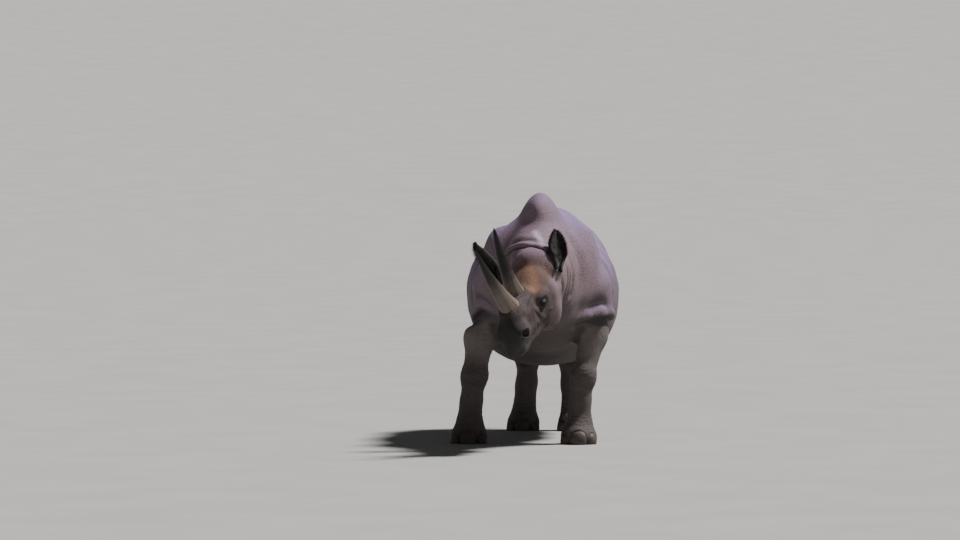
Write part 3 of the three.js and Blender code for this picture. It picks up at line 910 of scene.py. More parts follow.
def hide_material(sizes):
    f = Finish("rhino_hide", Specular_IOR_Level=0.35)
    crease, face, rust, dark = (f.noted(name) for name in ("crease", "face", "rust", "dark"))
    warm, mud, fine, ear, damp = (f.noted(name) for name in ("warm", "mud", "fine", "ear", "damp"))
    upward = f.add("ShaderNodeSeparateXYZ", {}, {0: f.add("ShaderNodeNewGeometry", out="Normal")}, out="Z")

    # mottling from the widest to the finest, and cells whose edges are the cracks of the hide
    patches = f.noise(2.2, 5.0, 0.6)
    clouds = f.noise(9.0, 4.0, 0.62)
    lumps = f.noise(48.0, 3.0, 0.6)
    grain = f.noise(260.0, 3.0, 0.6)
    folds = f.cells(38.0, f.pushed(0.05, 12.0)).clear_of(0.0, 0.14)
    broad = f.cells(108.0, f.pushed(0.016, 30.0)).clear_of(0.0, 0.22)
    tight = f.cells(270.0, f.pushed(0.005, 80.0)).clear_of(0.0, 0.3)
    cracks = broad + (tight - broad) * fine

    # the trunk and neck
    mottled = (patches * 0.6 + clouds * 0.5).clear_of(0.4, 0.68)
    f.colour = f.blend(sizes.hide_dark, sizes.hide_light, mottled)
    # dust, with a painted sky sheen, on what faces up
    f.paint(sizes.hide_dust_and_painted_sheen, upward.clear_of(0.0, 0.95) * (0.4 + clouds * 0.6))
    f.paint(sizes.hide_warm, warm * (0.45 + clouds * 0.5))
    # mud on the legs and belly, darkened as painted shade, lighter higher up as painted light, and painted
    # shade under them
    high = f.add("ShaderNodeSeparateXYZ", {}, {0: f.place}, out="Z")
    mud_painted_lighter_higher = f.blend(sizes.hide_mud_and_shade, MUD_PAINTED_LIGHTER_HIGH, high.clear_of(0.42, 0.62) * (0.55 + clouds * 0.6))
    muddy = (mud + upward.clear_of(0.25, -0.5) * 0.6).least(0.94)
    f.paint(mud_painted_lighter_higher, muddy * (0.8 + patches * 0.3))
    f.paint(SHADED_HIDE, upward.clear_of(-0.05, -0.6) * 0.7)
    # the face, darkened as painted shade, and the red earth on it
    f.paint(sizes.face_with_painted_shade, face * (0.65 + clouds * 0.5))
    streaks = f.noise(26.0, 5.0, 0.6, f.pushed(0.03, 12.0))
    blotches = f.noise(15.0, 4.0, 0.62, f.pushed(0.02, 20.0)).clear_of(0.47, 0.66)
    f.paint(FACE_BLOTCHES, face * blotches * 0.42)
    f.paint(FOREHEAD_EARTH, (rust * 2.0).least(1.0) * (0.5 + streaks * 0.7))
    f.paint(sizes.rust_colour, (rust * 1.7 - 0.7).most(0.0) * (0.4 + streaks * 0.9))
    # the painted glint on the wet streak, black painted shade in the hollows, and dirt and painted shade in
    # the cracks and creases over all of it
    f.paint(PAINTED_GLINT, damp * 0.85)
    f.paint(PAINTED_SHADE_BLACK, dark)
    uneven = 0.35 + f.noise(6.0, 3.0, 0.6).clear_of(0.36, 0.62) * 0.65
    cracks = 1 - (1 - cracks) * uneven * (1 - ear * 0.85)
    folds = 1 - (1 - folds) * (1 - ear * 0.95) * (1 - fine * 0.45)
    # dirt and painted shade in the cracks and the cells' furrows, painted shade in the dips between lumps and
    # in the sculpted creases
    dirt_and_painted_shade = (1 - cracks) * 0.21 + (1 - folds) * 0.14 + (0.5 - lumps) * 0.2 + crease * 0.8
    f.paint(CRACK_DIRT_AND_SHADE, dirt_and_painted_shade.least(0.85).most(0.0))
    f.paint(PALE_GRAIN, grain.clear_of(0.58, 0.8) * cracks * 0.06)

    relief = cracks * 0.3 + folds * 0.28 + lumps * 0.6 + grain * 0.1
    rough = (0.72 + clouds * 0.18 - dark * 0.2 * (1 - ear)) * (1 - damp * 0.75)
    return f.finish(rough, relief * (1 - damp * 0.6), 0.0042, 0.8)


def horn_material():
    f = Finish("horn_keratin", Specular_IOR_Level=0.3)
    share = f.noted("share")
    fibre = f.noted("fibre", out="Vector")
    groove = f.noted("groove")
    lines = f.noise(0.16, 4.0, 0.6, fibre)
    hairs = f.noise(0.75, 3.0, 0.65, fibre)
    wear = f.noise(24.0, 4.0, 0.6)
    f.colour = f.add("ShaderNodeValToRGB", {"stops": HORN_COLOURS}, {0: share + (wear - 0.5) * 0.22})
    f.paint(HORN_DUST, lines.clear_of(0.5, 0.78) * share.clear_of(0.6, 0.05) * 0.6)
    dark_lines = groove * 0.16 + hairs.clear_of(0.55, 0.2) * 0.35
    f.paint(HORN_GROOVES, dark_lines.least(0.5).most(0.0))
    relief = hairs * share.clear_of(0.95, 0.2) + lines * 0.8 + wear * 0.2
    return f.finish(0.4 + share.clear_of(0.8, 0.0) * 0.25 + wear * 0.12, relief, 0.0013)


def nail_material():
    f = Finish("nail_horn", Specular_IOR_Level=0.45)
    share = f.noted("share")
    rings = f.noise(9.0, 3.0, 0.6, f.stretched((4.0, 4.0, 30.0)))
    scuffs = f.noise(95.0, 4.0, 0.65)
    f.colour = f.blend(NAIL_DARK, NAIL_PALE, rings.clear_of(0.35, 0.7))
    f.paint(NAIL_EDGE, share.clear_of(-0.2, -0.9) * 0.7)
    f.paint(NAIL_SCUFFS, scuffs.clear_of(0.58, 0.75) * 0.4)
    return f.finish(0.5 + scuffs * 0.2, rings + scuffs * 0.3, 0.0012)


def eye_material():
    f = Finish("eye_wet", Coat_Weight=0.5, Coat_Roughness=0.03, Coat_IOR=1.36, Specular_IOR_Level=0.2)
    off, spoke = f.noted("off_axis"), f.noted("spoke")
    fibres = f.noise(2.2, 3.0, 0.7, f.add("ShaderNodeCombineXYZ", {}, {0: spoke * 3.0, 1: off * 0.8}))
    iris = f.blend(IRIS_DARK, IRIS_PALE, fibres.clear_of(0.35, 0.7))
    f.colour = f.blend(PUPIL, iris, off.clear_of(0.2, 0.27))
    f.paint(EYE_RIM, off.clear_of(0.5, 0.6))
    f.paint(EYE_WHITE, off.clear_of(0.62, 0.8) * 0.7)
    return f.finish(0.12 + off.clear_of(0.5, 0.8) * 0.2, fibres, 0.0002, 0.3)


def hair_material(colours):
    f = Finish("bristle", Specular_IOR_Level=0.4)
    tone, tip = f.noted("tone"), f.noted("tip")
    bands = f.noise(160.0, 2.0, 0.5)
    dusty = tone.clear_of(0.55, 1.0) * (0.3 + tip * 0.6) + bands * 0.1
    f.colour = f.blend(colours.dark, colours.pale, dusty)
    return f.finish(0.42 + bands * 0.25, bands, 0.0002, 0.4)


def floor_material():
    f = Finish("studio_floor", Specular_IOR_Level=0.2)
    mottle = f.noise(1.3, 5.0, 0.6)
    fine = f.noise(420.0, 3.0, 0.6)
    f.colour = f.blend(FLOOR_DARK, FLOOR_PALE, mottle.clear_of(0.35, 0.65))
    return f.finish(0.8 + fine * 0.1, fine, 0.0004, 0.2)


def dress(piece, material, sharp=None):
    piece.data.materials.clear()
    piece.data.materials.append(material)
    take(piece)
    if sharp is None:
        bpy.ops.object.shade_smooth()
    else:
        bpy.ops.object.shade_smooth_by_angle(angle=math.radians(sharp))
    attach(piece, "root")


# ------------------------------------------------------------------ lines on the form


def near_line(p, line, reach):
    """The corners within reach of a line. It gives which they are, their nearest places on the line,
    their shares along it, and the way it runs there."""
    low, high = line.min(1) - reach, line.max(1) + reach
    chosen = np.flatnonzero(((p >= column(low)) & (p <= column(high))).all(0))
    q = p[:, chosen]
    lengths = span(np.diff(line))
    starts = np.concatenate([[0], np.cumsum(lengths)]) / lengths.sum()
    best = np.full(chosen.size, np.inf)
    nearest, run, share = np.zeros_like(q), np.zeros_like(q), np.zeros(chosen.size)
    for i, length in enumerate(lengths):
        a = line[:, i : i + 1]
        way = (line[:, i + 1 : i + 2] - a) / length
        t = np.clip(((q - a) * way).sum(0), 0, length)
        place = a + way * t
        off = ((q - place) ** 2).sum(0)
        closer = off < best
        best[closer] = off[closer]
        nearest[:, closer] = place[:, closer]
        run[:, closer] = np.broadcast_to(way, q.shape)[:, closer]
        share[closer] = mix(starts[i], starts[i + 1], t[closer] / length)
    keep = best < reach**2
    return chosen[keep], nearest[:, keep], share[keep], run[:, keep]


def close_to(p, line, reach):
    """Whether each corner is within reach of the line."""
    found = np.zeros(p.shape[1], bool)
    found[near_line(p, line, reach)[0]] = True
    return found


def strip(p, line, reach, half):
    """A soft strip along a line: which corners it touches, their shares along it, and its strength."""
    chosen, nearest, share, _ = near_line(p, line, reach)
    return chosen, share, bell(span(p[:, chosen] - nearest), 0, half)


def curve(places, count=28):
    """A smooth line through a few places."""
    points = np.array(places, float)
    points = np.vstack([2 * points[0] - points[1], points, 2 * points[-1] - points[-2]])
    spans = len(points) - 3
    line = []
    for x in np.linspace(0, spans - 1e-6, count):
        i, t = int(x), x - int(x)
        a, b, c, d = points[i : i + 4]
        line.append(b + t / 2 * (c - a + t * (2 * a - 5 * b + 4 * c - d + t * (3 * (b - c) + d - a))))
    return np.array(line).T


LINE_UNDER = 3.0  # how deep under the form the lines of folds are drawn


def join_line(places, on_the_head=False):
    """A smooth line through a few places, laid onto the form."""
    line = curve(places)
    return settle(from_head(line) if on_the_head else line, LINE_UNDER)


# The main folds, each drawn through a few places on the form.
NAPE = join_line([
    (-262, -350, 1115), (-208, -385, 1187), (-161, -439, 1222), (-94, -571, 1244), (-42, -650, 1249),
    (10, -712, 1245), (47, -727, 1233), (90, -735, 1200), (130, -715, 1130),
])
NAPE_UPPER = join_line([
    (-200, -345, 1225), (-137, -412, 1271), (-84, -493, 1282), (-33, -543, 1286), (18, -589, 1275),
    (80, -610, 1235),
])
HEMS = {
    1: join_line([
        (200, -285, 715), (236, -262, 752), (284, -200, 787), (357, -128, 800), (430, -74, 795),
        (454, -20, 778), (452, 60, 752), (425, 140, 730),
    ]),
    -1: join_line([
        (-200, -270, 735), (-240, -240, 778), (-292, -190, 812), (-360, -118, 826), (-424, -60, 812),
        (-448, 10, 786), (-446, 80, 758), (-420, 150, 735),
    ]),
}
HEM_TOPS = {
    1: join_line([
        (273, -252, 820), (315, -206, 856), (358, -161, 876), (394, -122, 877), (424, -83, 839),
        (450, -20, 812),
    ]),
    -1: join_line([
        (-273, -232, 846), (-315, -186, 880), (-358, -140, 898), (-394, -96, 892), (-424, -50, 860),
    ]),
}
SKIRT = join_line([(226, -268, 742), (284, -200, 787), (357, -128, 800), (412, -92, 798), (448, -46, 786)])
SHOULDER_CREASES = {
    s: join_line([
        (s * 190, 190, 1330), (s * 345, 235, 1180), (s * 425, 250, 1000), (s * 440, 230, 850),
        (s * 400, 190, 720),
    ])
    for s in SIDES
}
MOUTH = {
    s: join_line([
        (708, s * 5 - 20, -170), (701, s * 23 - 15, -155), (680, s * 43 - 7, -138), (645, s * 60, -127),
        (600, s * 70, -121), (562, s * 76, -118), (532, s * 81, -114),
    ], True)
    for s in SIDES
}
# The red streak that runs down the forehead to the left eye, and the wet one down the nape's roll, where a
# glint is painted.
STREAK = join_line([(170, 16, 142), (227, 52, 120), (274, 76, 90), (335, 78, 82)], True)
WET_PAINTED_GLINT_LINE = join_line([(-33, -386, 1350), (-5, -476, 1316), (23, -572, 1281), (52, -640, 1262)])


# ------------------------------------------------------------------ the skin, remeshed


def needs_half(p):
    """Where the faces are halved once: head and neck, the elbows' hems, knees, hocks and feet."""
    found = (on_head(p)[0] > -200) & (p[1] < -200) & (p[2] > 560)
    for line in (*HEMS.values(), *SHOULDER_CREASES.values()):
        found |= close_to(p, line, 75)
    for leg in LEGS.values():
        x, y, z, _ = leg["joints"][3]
        found |= (np.hypot(p[0] - x, p[1] - y) < 150) & (np.abs(p[2] - z) < 75)
        x, y = leg["foot"]
        found |= (np.hypot(p[0] - x, p[1] - y) < 190) & (p[2] < 215)
    return found


def needs_quarter(p):
    """Where they are halved again: the face from behind the eyes on, and the nape's crease."""
    return (on_head(p)[0] > 250) | close_to(p, NAPE, 38)


def needs_eighth(p):
    """Where they are halved a third time: eyes, mouth and nostrils."""
    forward, left, up = on_head(p)
    aside = np.abs(left)
    eyes = (forward - EYE_AT[0]) ** 2 + (aside - EYE_AT[1]) ** 2 + (up - EYE_AT[2]) ** 2 < 46**2
    nostrils = (forward - NOSTRIL[0]) ** 2 + (aside - 80) ** 2 + (up - NOSTRIL[2]) ** 2 < 48**2
    mouth = close_to(p, MOUTH[-1], 17) | close_to(p, MOUTH[1], 17)
    return eyes | nostrils | mouth


def soften_ear_roots(skin):
    """Lets the skin run smoothly from the head into the ears."""
    edges = np.empty(len(skin.data.edges) * 2, np.int32)
    skin.data.edges.foreach_get("vertices", edges)
    a, b = edges.reshape(-1, 2).T
    spread = noted(skin, "ear").astype(float)
    ends = np.bincount(np.concatenate([a, b]), minlength=spread.size)
    for _ in range(5):
        total = np.bincount(a, spread[b], spread.size) + np.bincount(b, spread[a], spread.size)
        spread = (spread + total / np.maximum(ends, 1)) / 2
    open_corners(skin, (spread > 0.04) & (spread < 0.96))
    bpy.ops.mesh.vertices_smooth(factor=0.5, repeat=9)
    close_mesh()


def base_skin(settings):
    """One even mesh over all the flesh, with the ears joined on, finer towards the head."""
    skin = merged_copy("hide", FLESH)
    plugs = merged_copy("plugs", ["eye_left", "eye_right", *NAILS])
    stubs = [horn_stub(node, np.add(horn["at"], (0, 0, 6))) for node, horn in HORNS.items()]
    take(skin, plugs, *stubs)
    bpy.ops.object.join()
    apply(skin, "REMESH", mode="VOXEL", voxel_size=settings.face_size)
    keep_largest(skin)
    inset = settings.inset / MM
    lay_on_form(skin, inset)
    for finer in (needs_half, needs_quarter):
        refine(skin, finer(points_of(skin)))
        lay_on_form(skin, inset)
    note(skin, "ear", np.zeros(len(skin.data.vertices)))
    for place, node in zip(EAR_PLACES, EARS):
        shell = ear_shell(place, node + "_shell")
        apply(skin, "BOOLEAN", operation="UNION", object=shell, solver="MANIFOLD")
        bpy.data.objects.remove(shell)
    refine(skin, needs_eighth(points_of(skin)) & off_ears(skin))
    lay_on_form(skin, inset)
    soften_ear_roots(skin)
    return skin


# ------------------------------------------------------------------ the skin, sculpted


class Clay:
    """The skin's corners while they are sculpted. Moves are added up and made together."""

    def __init__(self, skin):
        self.p = points_of(skin)
        self.out = facing(self.p)
        self.head = on_head(self.p)
        self.ear = noted(skin, "ear")
        self.free = off_ears(skin)  # the ears' walls are too thin to be moved
        self.move = np.zeros_like(self.p)
        # painted shade in the creases, noted for the material
        self.crease = np.zeros(self.p.shape[1])
        # black painted shade in the hollows, noted for the material
        self.dark = np.zeros(self.p.shape[1])

    # paints black shade into hollows, keeping the darkest at each corner
    def paint_shade(self, amount, chosen=slice(None)):
        self.dark[chosen] = np.maximum(self.dark[chosen], amount)

    def push(self, amount):
        """Moves the corners outward along the form's own slope."""
        self.move += self.out * (amount * self.free)

    def bulge(self, places, radius, amount):
        """A soft rise, or with a negative amount a soft hollow, round each place."""
        reach = np.array(radius if hasattr(radius, "__len__") else (radius,) * 3, float)
        for place in places:
            self.push(amount * np.exp(-(((self.p - column(place)) / column(reach)) ** 2).sum(0)))

    def fold(
        self, line, width, deep, swell=0.0, hang=0.0, flare=0.0, step=0.0, over=(0, 0, 1), fade=0.2,
        shade=1.0,
    ):
        """A crease along a line. The skin on its over side swells, can hang across the crease, and can
        flare out towards it as a skirt does. On its other side it can lie a step lower."""
        chosen, nearest, share, run = near_line(self.p, line, width * 5)
        out = self.out[:, chosen]
        side = np.cross(run.T, out.T).T
        side /= np.maximum(span(side), 1e-6)
        side *= np.sign((side * column(over)).sum(0) + 1e-9)
        off = self.p[:, chosen] - nearest
        x = np.sign((off * side).sum(0)) * span(off) / width
        ends = window(share, 0, fade, 1 - fade, 1) * self.free[chosen]
        lift = swell * bell(x, 1.7, 1.25) - deep * bell(x, 0, 1)
        lift += flare * np.clip(1.12 - x / 3.6, 0, 1) * smooth(-0.35, 0.6, x)
        lift -= step * window(x, -4.8, -1.4, -0.6, 0.5)
        self.move[:, chosen] += out * (lift * ends) - side * (hang * bell(x, 0.8, 0.9) * ends)
        self.crease[chosen] += shade * bell(x, 0, 0.6) * ends

    def fold_body(self, places, width, deep, **more):
        """The same fold on both sides of the body, drawn through places on the left."""
        for s in SIDES:
            self.fold(join_line(np.multiply(places, (s, 1, 1))), width, deep, **more)

    def fold_head(self, places, width, deep, **more):
        """The same fold on both sides of the head, drawn through places on the left."""
        for s in SIDES:
            self.fold(join_line(np.multiply(places, (1, s, 1)), True), width, deep, **more)

    def ripples(self, where, spacing, deep, mask, shade=0.5, sharp=2.2):
        """Wrinkles wherever the distance where passes a whole number of spacings."""
        groove = grooves(where, spacing, sharp) * mask * self.free
        self.push(-deep * groove)
        self.crease += shade * groove

    def set(self):
        """Makes the moves, and goes on from there."""
        self.p = self.p + self.move
        self.p[2] = np.maximum(self.p[2], 0)
        self.move[:] = 0
        self.head = on_head(self.p)


def shape_face(clay):
    forward, left, up = clay.head
    aside = np.abs(left)
    middle = from_head((0, 0, 0))
    over = (from_head((0, 0, 1)) - middle)[:, 0]
    ahead = (from_head((1, 0, 0)) - middle)[:, 0]

    # the bridge of the nose, gathered in short wrinkles between the horns and down the cheeks
    shake = waves(clay.p, 60, 11) * 5
    cheek = window(forward, 400, 450, 590, 640) * window(up, -95, -60, 40, 70)
    patchy = (0.5 + 0.5 * waves(clay.p, 90, 12)).clip(0, 1)
    clay.ripples(forward + up * 0.35 + shake, 19, 2.2, cheek * patchy)
    brow = window(forward, 240, 290, 320, 345) * smooth(60, 90, up)
    clay.ripples(forward + shake * 2, 24, 1.3, brow, shade=0.25)
    # the hide rises in a thick collar round each horn's foot
    for horn in HORNS.values():
        ahead_of, left_of, _ = horn["at"]
        off = np.hypot((forward - ahead_of) / HORN_DEEP, (left - left_of) / HORN_WIDE) - horn["base"]
        clay.push((4 + 1.5 * waves(clay.p, 30, 14)) * bell(off, 9, 10) * smooth(30, 62, up))

    # the mouth, its corner and the fold behind that
    for s in SIDES:
        clay.fold(MOUTH[s], 6.0, 11, swell=4.5, hang=4.5, over=over, fade=0.08, shade=1.4)
    corner = [(548, 84, -76), (522, 86, -92), (512, 84, -118), (524, 78, -144)]
    clay.fold_head(corner, 7, 5, swell=2.5, over=-over, shade=0.7)
    behind = [(495, 90, -60), (478, 90, -88), (478, 86, -120)]
    clay.fold_head(behind, 7, 4, swell=2, shade=0.6)
    # the jaw's edge and the throat behind it
    jaw = [(70, 150, 20), (60, 158, -60), (90, 140, -150), (160, 100, -225)]
    clay.fold_head(jaw, 20, 12, swell=5, over=ahead, fade=0.3)
    # the groove between the horns' pads and the side of the nose, and the folds of the cheek
    groove = [(385, 100, 62), (406, 84, 76), (462, 90, 74), (523, 92, 60), (575, 90, 44)]
    clay.fold_head(groove, 9, 6, swell=3, over=over, fade=0.25, shade=0.6)
    below_eye = [(500, 100, 20), (469, 108, -4), (444, 114, -60), (400, 110, -110), (330, 100, -148)]
    clay.fold_head(below_eye, 11, 7, swell=4, over=-ahead, fade=0.3, shade=0.6)
    jowl = [(345, 128, -70), (318, 128, -96), (270, 128, -112)]
    clay.fold_head(jowl, 10, 4, swell=3, over=over, fade=0.35, shade=0.4)
    # the nostril: a slit runs back from it, its rim stands out, and its hollow is deepest inside
    slit = [(654, 96, -16), (640, 98, -4), (622, 94, 4)]
    clay.fold_head(slit, 5, 5, swell=2.5, over=over, fade=0.3, shade=0.9)
    rim = 1.2 + 4.6 * smooth(-14, 12, up - NOSTRIL[2])
    for s in SIDES:
        nostril = column(np.multiply(NOSTRIL, (1, s, 1)))
        clay.push(rim * bell(span((clay.head - nostril) / column((34, 30, 24))), 1.3, 0.24))
        clay.bulge([from_head((NOSTRIL[0] + 3, s * 74, NOSTRIL[2]))], (17, 20, 13), -11)
        wing = [(640, s * 92, 24), (655, s * 88, -4), (650, s * 78, -34)]
        clay.bulge(from_head(np.transpose(wing)).T, 14, 3)

    # the lips' skin is puckered
    lips = smooth(590, 640, forward) * smooth(-70, -95, up) * smooth(16, 30, aside)
    clay.ripples(aside + forward * 0.3 + waves(clay.p, 40, 13) * 4, 13, 2.0, lips, shade=0.35)


LID_THICK = 3.4
LID_SOFT = 5.0  # how smoothly a lid runs into the skin round it


def set_eyes(clay, depth):
    """Opens the lids over each eyeball, with their rims and the rings of skin round them."""
    for s in SIDES:
        centre, axes = eye_axes(s)
        centre = centre - column(axes[2]) * depth
        local = axes @ (clay.p - centre)
        off = np.hypot(local[0], local[1])
        near = np.flatnonzero((off < 75) & (local[2] > -30) & (local[2] < 60))
        x, y, z = local[:, near]
        off = off[near]
        # wrinkles in rings, longer than they are tall
        ring = np.hypot(x / 1.3, y)
        rings = grooves(ring + waves(clay.p[:, near], 38, 21 + s) * 2.2, 9.5, 1.8)
        rings *= window(ring, 17, 24, 34, 58) * (0.45 + 0.55 * np.abs(y) / np.maximum(off, 1))
        low = z - 6.5 * bell(ring, 31, 10) - 2.6 * rings
        lids = np.sqrt(np.maximum((EYE_RADIUS + LID_THICK) ** 2 - (off * 0.93) ** 2, 0))
        gap = np.maximum(LID_SOFT - np.abs(low - lids), 0) / LID_SOFT
        lidded = mix(low, np.maximum(low, lids) + gap * gap * LID_SOFT / 4, smooth(30, 17, off))
        # the opening, which reaches higher above its middle line than below
        along = x / 18.0
        between = np.abs(along) < 1
        tall = np.where(y > 0, 9.4, 8.0) * np.maximum(1 - along**2, 0.0) ** 0.8 + 1e-3
        slit = np.minimum(np.where(between, np.abs(y) / tall, 9), 9)
        inside = 1 - smooth(0.86, 1.25, slit)
        ball_face = np.sqrt(np.maximum(EYE_RADIUS**2 - off**2, 0)) - 3.0
        z = mix(lidded + bell(slit, 1.55, 0.4) * between, ball_face, inside)
        clay.p[:, near] = centre + axes.T @ np.stack([x, y, z])
        # painted shade in the rings, the opening and along the lids' edge, and black painted shade round the
        # eye in its hollow socket
        clay.crease[near] += rings * 0.5 + inside * 0.6 + 0.9 * bell(slit, 1.05, 0.25)
        clay.paint_shade(smooth(60, 16, np.hypot(x * 1.15, (y + 8) * 0.8)) * 0.94, near)


def shape_neck(clay):
    clay.fold(NAPE, 13, 18, swell=11, hang=10, over=(0, 1, 0.6), fade=0.16, shade=1.3)
    clay.fold(NAPE_UPPER, 17, 7, swell=4, hang=2, over=(0, 1, 0.6), fade=0.3, shade=0.5)
    # three folds down each side of the neck, each narrower and shallower than the one before
    for i, (y, top, bottom) in enumerate([(-600, 62, 172), (-520, 78, 165), (-440, 70, 168)]):
        angles = np.radians(np.linspace(top, bottom, 6))
        middle = 1110 + (y + 600) * 0.25
        for s in SIDES:
            ring = [s * 210 * np.sin(angles) + 8, y - 34 * np.cos(angles), middle + 240 * np.cos(angles)]
            line = join_line(np.transpose(ring))
            clay.fold(line, 17 - 2 * i, 10 - i, swell=6, hang=3, over=(0, 1, 0), fade=0.3, shade=0.8)


def shape_body(clay):
    for s in SIDES:
        clay.fold(HEMS[s], 18, 11, swell=9, hang=12, step=24, over=(0, 0.1, 1), shade=1.4)
        clay.fold(HEM_TOPS[s], 22, 11, over=(0, 0.1, 1), fade=0.3, shade=0.2)
        clay.fold(SHOULDER_CREASES[s], 30, 13, swell=7, over=(0, -1, 0), fade=0.3, shade=0.45)
        clay.bulge([(s * 318, 905, 1262)], 85, 9)  # point of the hip
        clay.bulge([(s * 120, 1555, 1130)], 70, 8)  # point of the buttock
        clay.bulge([(s * 300, -60, 1330)], (90, 60, 150), 6)  # blade of the shoulder
        clay.bulge([(s * 345, -190, 950)], 95, 7)  # point of the shoulder
        clay.bulge([(s * 300, 985, 700)], 80, 6)  # stifle
    # grooves before the shoulder, before the thigh, and down the back of the ham
    shoulder = [(105, -250, 1385), (215, -300, 1230), (262, -330, 1060), (235, -385, 900)]
    clay.fold_body(shoulder, 34, 10, swell=5, over=(0, 1, 0), fade=0.35, shade=0.25)
    thigh = [(395, 850, 1110), (430, 905, 960), (410, 930, 820), (350, 900, 700)]
    clay.fold_body(thigh, 30, 12, swell=7, over=(0, 1, 0), fade=0.35, shade=0.5)
    ham = [(300, 1380, 1080), (330, 1330, 920), (290, 1320, 760), (235, 1330, 640)]
    clay.fold_body(ham, 26, 8, swell=4, over=(0, 1, 0), fade=0.35, shade=0.4)
    clay.fold(SKIRT, 18, 0, flare=38, over=(0, 0.1, 1), fade=0.34, shade=0)
    # ribs show as low ridges that lean back, and the hide over them lies in loose waves
    x, y, z = clay.p
    flank = window(y, 280, 420, 840, 960) * window(z, 620, 760, 1180, 1290) * smooth(300, 400, np.abs(x))
    lean = y + (1000 - z) * 0.28 + waves(clay.p, 500, 31) * 16
    clay.push((2.6 * np.cos(2 * np.pi * lean / 92) - 1.5) * flank)
    tail = smooth(1540, 1600, y)
    clay.push((1.6 * waves(clay.p, 190, 32) + waves(clay.p, 95, 33) - 1.5) * (1 - tail) - 4 * tail)


def shape_legs(clay):
    x, y, z = clay.p
    shake = waves(clay.p, 120, 41) * 7
    for leg in LEGS.values():
        joint_x, joint_y, joint_z, _ = leg["joints"][3]
        near = smooth(150, 110, np.hypot(x - joint_x, y - joint_y))
        clay.ripples(z + shake, 27, 4.0, near * smooth(78, 30, np.abs(z - joint_z)))
        foot_x, foot_y = leg["foot"]
        near = smooth(190, 150, np.hypot(x - foot_x, y - foot_y))
        clay.ripples(z + shake * 0.8, 24, 3.2, near * window(z, 95, 120, 170, 205))
    # the hide laps over the top of each nail
    for node in NAILS:
        middle, axes, half, tall = nail_place(node)
        across, front, above = axes.T @ (clay.p - middle)
        off = np.hypot(across / half, above / tall)
        near = (np.abs(front) < 45) & (off < 1.6)
        clay.push(6 * bell(off, 1.14, 0.1) * near * smooth(-20, 10, above))
        # painted shade along the nail's edge under the lapping hide
        clay.crease += 0.7 * bell(off, 1.0, 0.07) * near


def shape_ears(clay):
    """Wrinkles the ears' roots, and presses in the clefts that run up into their cups."""
    for place in EAR_PLACES:
        root, axes = ear_axes(place)
        across, front, above = axes.T @ (clay.p - root)
        on_skin = clay.ear < 0.5
        cup = bell(across, 0, 34) * smooth(95, 70, front) * window(above, -70, -15, 125, 165) * on_skin
        # black painted shade in the cleft under each ear's cup
        clay.paint_shade(np.minimum(1.6 * cup * smooth(-55, -20, front), 0.95))
        clay.move -= clay.out * (26 * cup * smooth(-22, 6, front) * window(above, -45, 5, 90, 125))
        rings = grooves(above + waves(clay.p, 60, 51) * 4, 15, 2)
        rings *= (np.hypot(across, front) < 66) & (above > -50) & (above < 70)
        rings *= window(above, -40, 0, 40, 66) * on_skin
        clay.push(-2.0 * rings)
        # painted shade in the wrinkles of the root
        clay.crease += rings * 0.5


def paint_shade_in_hollows(clay):
    """Paints shade black on the muzzle, the ears, the nostrils and what the elbows' hems cover."""
    clay.paint_shade(np.maximum(smooth(600, 690, clay.head[0]) * 0.9, clay.ear * 0.94))
    # black painted shade in the nostrils' hollows
    for ahead, aside, above, size in ((0, 80, 0, 34), (20, 68, -14, 27), (-18, 90, 12, 21)):
        for s in SIDES:
            spot = from_head((NOSTRIL[0] + ahead, s * aside, NOSTRIL[2] + above))
            clay.paint_shade(smooth(size, size * 0.55, span(clay.p - spot)))
    # a painted shadow under each elbow's hem
    for line in HEMS.values():
        chosen, nearest, share, _ = near_line(clay.p, line, 100)
        below = nearest[2] - clay.p[2, chosen]
        clay.paint_shade(0.66 * window(below, -4, 12, 35, 95) * window(share, 0, 0.15, 0.8, 1), chosen)


def note_colours(clay, skin):
    """Notes where the hide is coloured and wet, and where shade and a glint are painted on it, for its
    material.
    """
    forward, _, up = clay.head
    _, y, z = clay.p
    # the face, which the material darkens as painted shade
    note(skin, "face", smooth(150, 260, forward))
    rust = window(forward, 50, 125, 330, 440) * smooth(30, 80, up) * 0.5
    chosen, _, streak = strip(clay.p, STREAK, 110, 52)
    rust[chosen] = np.maximum(rust[chosen], streak * (clay.ear[chosen] < 0.1))
    note(skin, "rust", rust)
    # the wet streak down the nape's roll, where the material paints a glint
    damp = np.zeros(y.size)
    chosen, share, streak = strip(clay.p, WET_PAINTED_GLINT_LINE, 60, 15)
    damp[chosen] = streak * window(share, 0, 0.2, 0.8, 1)
    note(skin, "damp", damp)
    note(skin, "warm", smooth(120, -420, y) * smooth(700, 1000, z))
    # mud low on the legs and belly, which the material darkens as painted shade
    muddy = mix(830, 640, smooth(150, 480, y))
    note(skin, "mud", smooth(muddy, muddy - 120, z) * smooth(-560, -420, y))
    note(skin, "fine", smooth(100, 240, forward))


def sculpt(skin, eye_depth):
    """Shapes the folds, the wrinkles and the lids, and notes what the material needs."""
    clay = Clay(skin)
    paint_shade_in_hollows(clay)
    note_colours(clay, skin)
    for shape in (shape_body, shape_neck, shape_legs, shape_ears, shape_face):
        shape(clay)
    clay.set()
    set_eyes(clay, eye_depth)
    put_points(skin, clay.p)
    note(skin, "crease", np.clip(clay.crease, 0, 1.2))
    note(skin, "dark", clay.dark)


# ------------------------------------------------------------------ hair

PATCH = 0.003  # how much of the unwrap each tuft takes


